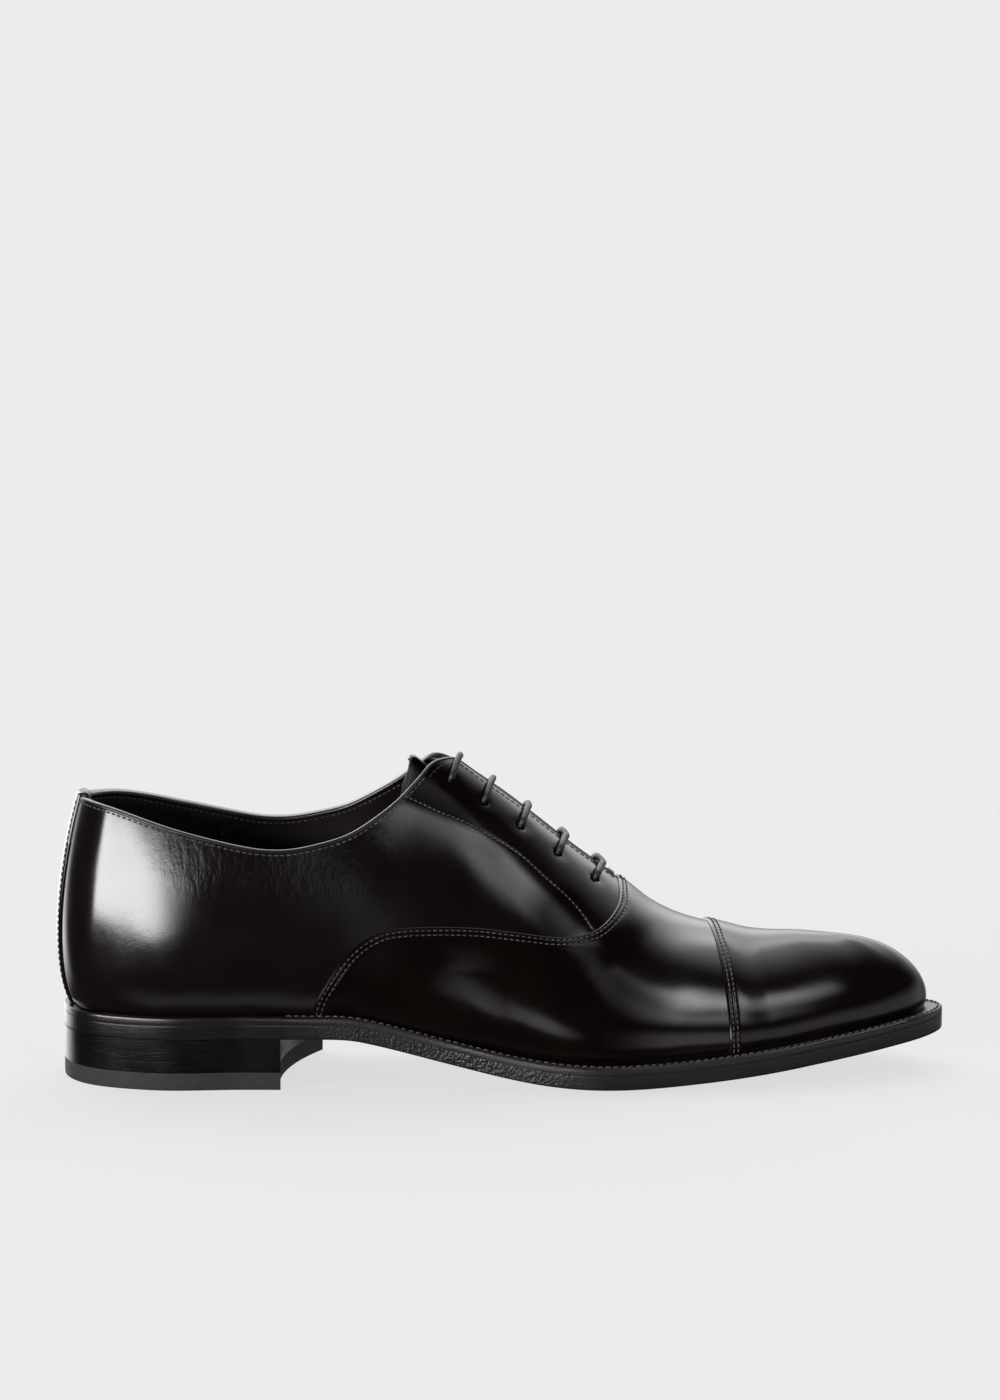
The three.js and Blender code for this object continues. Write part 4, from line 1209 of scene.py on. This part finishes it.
LACE_OVER, LACE_UNDER, LACE_TAIL = LACE_RADIUS + 0.25, -5.5, -6.3
LACE_LEAN = 3.0
BRAID_STARTS, BRAID_LENGTH, BRAID_DEPTH = 4, 4.2, 0.10


def lace_route():
    """The lace's middle line: a tail, five straight bars with steps between, and a tail."""
    route = []
    spots = {side.name: [eyelet_place(side, x) for x in EYELET_X] for side in SIDES}

    def tail(side, i):
        a, v = spots[side.name][i]
        return [surface(a, v - far, LACE_TAIL) for far in (0.12, 0.26, 0.4)]

    def climb(side, i):
        a, v = spots[side.name][i]
        ahead = side.to(crest_at(rib(a)[2] + LACE_LEAN)) - a
        return [surface(a + ahead * (t if side.sign < 0 else t ** 0.45), lerp(v, 1, t),
                        LACE_OVER + lift)
                for t, lift in ((0.07, -0.35), (0.2, 0.05), (0.5, 0.12), (0.8, 0.15))]

    def at(side, i, height):
        return surface(*spots[side.name][i], height)
    route += tail(LATERAL, 0)[::-1]
    for i in range(len(EYELET_X)):
        first, second = (MEDIAL, LATERAL) if i % 2 else (LATERAL, MEDIAL)
        route += [at(first, i, LACE_UNDER), at(first, i, -2.0)] + climb(first, i)
        route += climb(second, i)[::-1] + [at(second, i, -2.0), at(second, i, LACE_UNDER)]
    route += tail(MEDIAL, 4)
    return catmull(np.array(route), 0.25)


def braided_tube(path, sides=16):
    """Rings of points round a path, for a round braided cord."""
    t = unit(np.gradient(path, axis=0))
    n = np.cross(t[0], (0, 0, 1.0))
    n = unit(n) if np.linalg.norm(n) > 0.1 else unit(np.cross(t[0], (0, 1.0, 0)))
    frames = []
    for d in t:
        n = unit(n - d * (n @ d))
        frames.append((n, np.cross(d, n)))
    run = length_of(path)
    angle = np.arange(sides) * 2 * math.pi / sides
    twist = run[:, None] * 2 * math.pi / BRAID_LENGTH
    strands = np.maximum(np.abs(np.cos(BRAID_STARTS / 2 * (angle + twist))),
                         np.abs(np.cos(BRAID_STARTS / 2 * (angle - twist))))
    radius = LACE_RADIUS - BRAID_DEPTH * (1 - strands) * 2
    radius[0] *= 0.96
    n = np.array([f[0] for f in frames])
    b = np.array([f[1] for f in frames])
    return path[:, None] + radius[..., None] * (np.cos(angle)[None, :, None] * n[:, None]
                                                + np.sin(angle)[None, :, None] * b[:, None])


def make_lace():
    """The lace in two halves, cut over the crest."""
    route = lace_route()
    y = crest_y(route[:, 0])
    sign = np.sign(route[:, 1] - y)
    cuts = [0] + [i + 1 for i in range(len(sign) - 1) if sign[i] != sign[i + 1]] + [len(sign)]
    groups = {-1: [], 1: []}
    for start, end in zip(cuts[:-1], cuts[1:]):
        part = route[start:end]
        ends = []
        for here, other in ((start, start - 1), (end - 1, end)):
            if 0 <= other < len(route):
                share = (y[here] - route[here, 1]) / (route[other, 1] - route[here, 1])
                ends.append(lerp(route[here], route[other], share))
            else:
                ends.append(None)
        pieces = [part]
        if ends[0] is not None:
            pieces.insert(0, ends[0][None])
        if ends[1] is not None:
            pieces.append(ends[1][None])
        groups[int(sign[start])].append(np.concatenate(pieces))
    for side in SIDES:
        points, faces, start = [], [], 0
        for path in groups[side.sign]:
            ring = braided_tube(path)
            count, sides = ring.shape[:2]
            ids = np.arange(start, start + count * sides).reshape(count, sides)
            ids = np.concatenate((ids, ids[:, :1]), 1)
            faces += quads([ids]) + [ids[0, :-1].tolist(), ids[-1, :-1][::-1].tolist()]
            points.append(ring.reshape(-1, 3))
            start += count * sides
        piece = make_object(side.name + "_lace", np.concatenate(points), faces, LACE, None, 60)
        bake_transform(piece)
        if side.sign < 0:
            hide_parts("lace")


def make_bar_tack():
    """A few close stitches that hold the throat together."""
    points, normals = [], []
    for k in range(4):
        a = crest_at(THROAT_X - 1.6 - 0.55 * k)
        v = np.linspace(0.955, 1, 12)
        lat, med = last_point(a, v), last_point(AROUND - a, v)[::-1]
        line = np.concatenate((lat, med[1:]))
        line[:, 2] += 0.55
        points.append(line)
        normals.append(np.tile(last_normal(a, 1.0), (len(line), 1)))
    for k, (line, normal) in enumerate(zip(points, normals)):
        root_row(f"throat_tack_{k + 1}", (line, normal), 9.0, radius=0.24, share=0.95)


# ---- the bottom ----
def edge_point(a, inset):
    """A point of the sole's outline in plan, moved in from its edge."""
    d = 0.02
    before, after, here = rib(a - d), rib(a + d), rib(a)
    dx, dy = after[..., 0] - before[..., 0], after[..., 1] - before[..., 1]
    long = np.hypot(dx, dy)
    out = here[..., 9] - inset
    return np.stack((here[..., 0] + dy / long * out, here[..., 1] - dx / long * out), -1)


def foot_at(x, low, high):
    return solve(lambda a: rib(a)[0] - x, low, high)


BREAST_LATERAL = foot_at(-74.6, 2, 5)
BREAST_MEDIAL = AROUND - foot_at(-60.7, AROUND - 5, AROUND - 2)
BREAST_HOLLOW = 5.0
FLUSH = 0.14    # how far each layer of the bottom grows to meet the next
WELT_TUCK = 2.5
WELT_STITCH_INSET = 1.35


def loop_steps(round_end, count):
    """Shares of the way along a slab, closer together at its round ends."""
    t = np.linspace(0, 1, count)
    near = 0.5 - 0.5 * np.cos(math.pi * t)
    return lerp(t, near, 0.55) if round_end else t ** 1.35


def slab(name, range_lateral, range_medial, profile, low, high, material, bend=0.0,
         count=150, across=16):
    """A plate across the shoe with a shaped edge: profile rows are (inset, share of height)."""
    s = loop_steps(bend == 0, count)
    u = np.linspace(0, 1, across + 1)
    levels = []
    for inset, share in profile:
        lat = edge_point(lerp(range_lateral[0], range_lateral[1], s), inset)
        med = edge_point(AROUND - lerp(range_medial[0], range_medial[1], s), inset)
        xy = lerp(lat[:, None], med[:, None], u[None, :, None])
        x = xy[..., 0] - bend * 4 * (u * (1 - u))[None] * s[:, None] ** 3
        z = lerp(low(x, u[None]), high(x, u[None]), share)
        levels.append(np.stack((x, xy[..., 1], z), -1))
    stack = np.stack(levels, 2)
    grids = [stack[:, :, 0], stack[:, :, -1], stack[:, 0], stack[:, -1]]
    if bend:
        grids.append(stack[-1])
    return closed_grids(name, grids, material, 40)


def sole_crown(x):
    return smooth([[-60, 0], [-59, 0], [-30, 1], [0, 1.5], [110, 1.5], [150, 0.6]])(x)


def rounded_edge(bottom, top, flush=0.0):
    """A profile that rounds off below and above; insets in millimetres."""
    return [(bottom + flush, 0.0), (bottom * 0.3 + flush, 0.05), (flush, 0.16), (flush, 0.5),
            (flush, 0.84), (top * 0.3 + flush, 0.95), (top + flush, 1.0)]


def ring_piece(name, start, end, profile, low, high, material, count):
    """A strip along the outline: profile rows are (inset, share of height, extra height)."""
    a = np.linspace(start, end, count)
    loop = []
    for inset, share, extra in profile:
        depth = inset(a) if callable(inset) else inset
        xy = edge_point(a, depth)
        z = lerp(low(xy[:, 0]), high(xy[:, 0]), share) + extra
        loop.append(np.concatenate((xy, z[:, None]), -1))
    ring = np.stack(loop, 1)
    middle = ring.mean(1, keepdims=True)
    ring = np.concatenate((ring, ring[:, :1]), 1)
    ends = [np.concatenate((np.repeat(middle[i:i + 1], ring.shape[1], 1), ring[i:i + 1]))
            for i in (0, -1)]
    return closed_grids(name, [ring] + ends, material, 45)


def make_bottom():
    """Outsole, top piece, lifts, welt and rand, and the stitches on the welt."""
    whole = (0, TOE)
    hollow = lambda x, u: sole_line(x) - sole_crown(x) * (1 - (2 * u - 1) ** 4) \
        - FLUSH * (1 - step(x, -78, -58))
    top = lambda x, u: sole_top(x) + 0 * u + FLUSH
    sole = slab("outsole_fine", whole, whole, rounded_edge(0.12, 0.04, 0.03), hollow, top, EDGE,
                count=260)
    heel_l, heel_m = (0, BREAST_LATERAL), (0, BREAST_MEDIAL)
    flat = lambda z: (lambda x, u: z + 0 * x)
    done = [(sole, "outsole", "sole_leather")]
    top_piece = slab("top_piece_fine", heel_l, heel_m, rounded_edge(0.2, 0.08), flat(0.0),
                     flat(TOP_PIECE + FLUSH), RUBBER, BREAST_HOLLOW, 110)
    done.append((top_piece, "top_piece", "rubber"))
    lift_low, lift_top = TOP_PIECE + CLEARANCE, HEEL_HEIGHT - CLEARANCE
    pitch = (lift_top - lift_low + CLEARANCE) / LIFTS
    for i in range(LIFTS):
        low = lift_low + i * pitch
        lift = slab(f"heel_lift_{i + 1}_fine", heel_l, heel_m, rounded_edge(0.008, 0.008, 0.02),
                    flat(low - FLUSH), flat(low + pitch - CLEARANCE + FLUSH), STACK,
                    BREAST_HOLLOW, 110)
        done.append((lift, f"heel_lift_{i + 1}", "sole_leather"))
    low = lambda x: sole_top(x) + CLEARANCE - FLUSH
    high = lambda x: sole_top(x) + CLEARANCE + WELT_THICK
    inner = lambda a: rib(a)[..., 9] + WELT_TUCK
    feather = lambda a: rib(a)[..., 9] - 0.2
    profile = [(0.06, 0.0, 0), (0.02, 0.08, 0), (0.0, 0.3, 0), (0.0, 0.62, 0), (0.12, 0.84, 0),
               (0.45, 0.98, 0), (0.9, 1.0, 0.0), (1.35, 1.0, -0.12), (1.8, 1.0, 0.05),
               (feather, 1.0, 0.1), (inner, 1.0, 0.0), (inner, 0.0, 0)]
    welt = ring_piece("welt_fine", BREAST_LATERAL, AROUND - BREAST_MEDIAL, profile, low, high,
                      WELT, 420)
    done.append((welt, "welt", "welt_leather"))
    back = 0.003
    rand_profile = [(0.06, 0.0, 0), (0.02, 0.08, 0), (0.0, 0.3, 0), (0.0, 0.7, 0),
                    (0.08, 0.88, 0), (0.3, 0.98, 0), (0.8, 1.0, 0.0), (feather, 1.0, 0.05),
                    (inner, 1.0, 0.0), (inner, 0.0, 0)]
    rand = ring_piece("heel_rand_fine", AROUND - BREAST_MEDIAL + back,
                      AROUND + BREAST_LATERAL - back, rand_profile, low, high, WELT, 200)
    done.append((rand, "heel_rand", "welt_leather"))
    for piece, node, slot in done:
        rides(piece, slot, node)
    a = np.linspace(BREAST_LATERAL + 0.05, AROUND - BREAST_MEDIAL - 0.05, 600)
    xy = edge_point(a, WELT_STITCH_INSET)
    points = np.concatenate((xy, (high(xy[:, 0]) - 0.05)[:, None]), 1)
    normals = np.tile([0.0, 0.0, 1.0], (len(a), 1))
    row = stitch_row("welt_stitches", (points, normals), 2.55, radius=0.36, share=0.8)
    rides(row, "welt_leather")


# ---- assembly ----
for side in SIDES:
    make_quarter(side)
    make_binding(side)
    make_lining(side)
make_vamp()
make_cap()
make_seam_stitches()
make_back_strip()
make_tongue()
make_lace()
make_bar_tack()
make_bottom()

HIDDEN_PARTS = {
    "insole_rib": INSOLE, "cork_filler": CORK, "shank": STEEL, "insole": INSOLE,
    "sock_lining": SOCK, "vamp_interlining": STIFF, "toe_puff": STIFF, "vamp_lining": LINING,
    "heel_counter": STIFF,
}
for name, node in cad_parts.items():
    if name in HIDDEN_PARTS:
        material = HIDDEN_PARTS[name]
    elif name.startswith("heel_nail") or "_eyelet_" in name:
        material = BRASS
    else:
        material = UPPER
    node.data.materials.clear()
    node.data.materials.append(material)
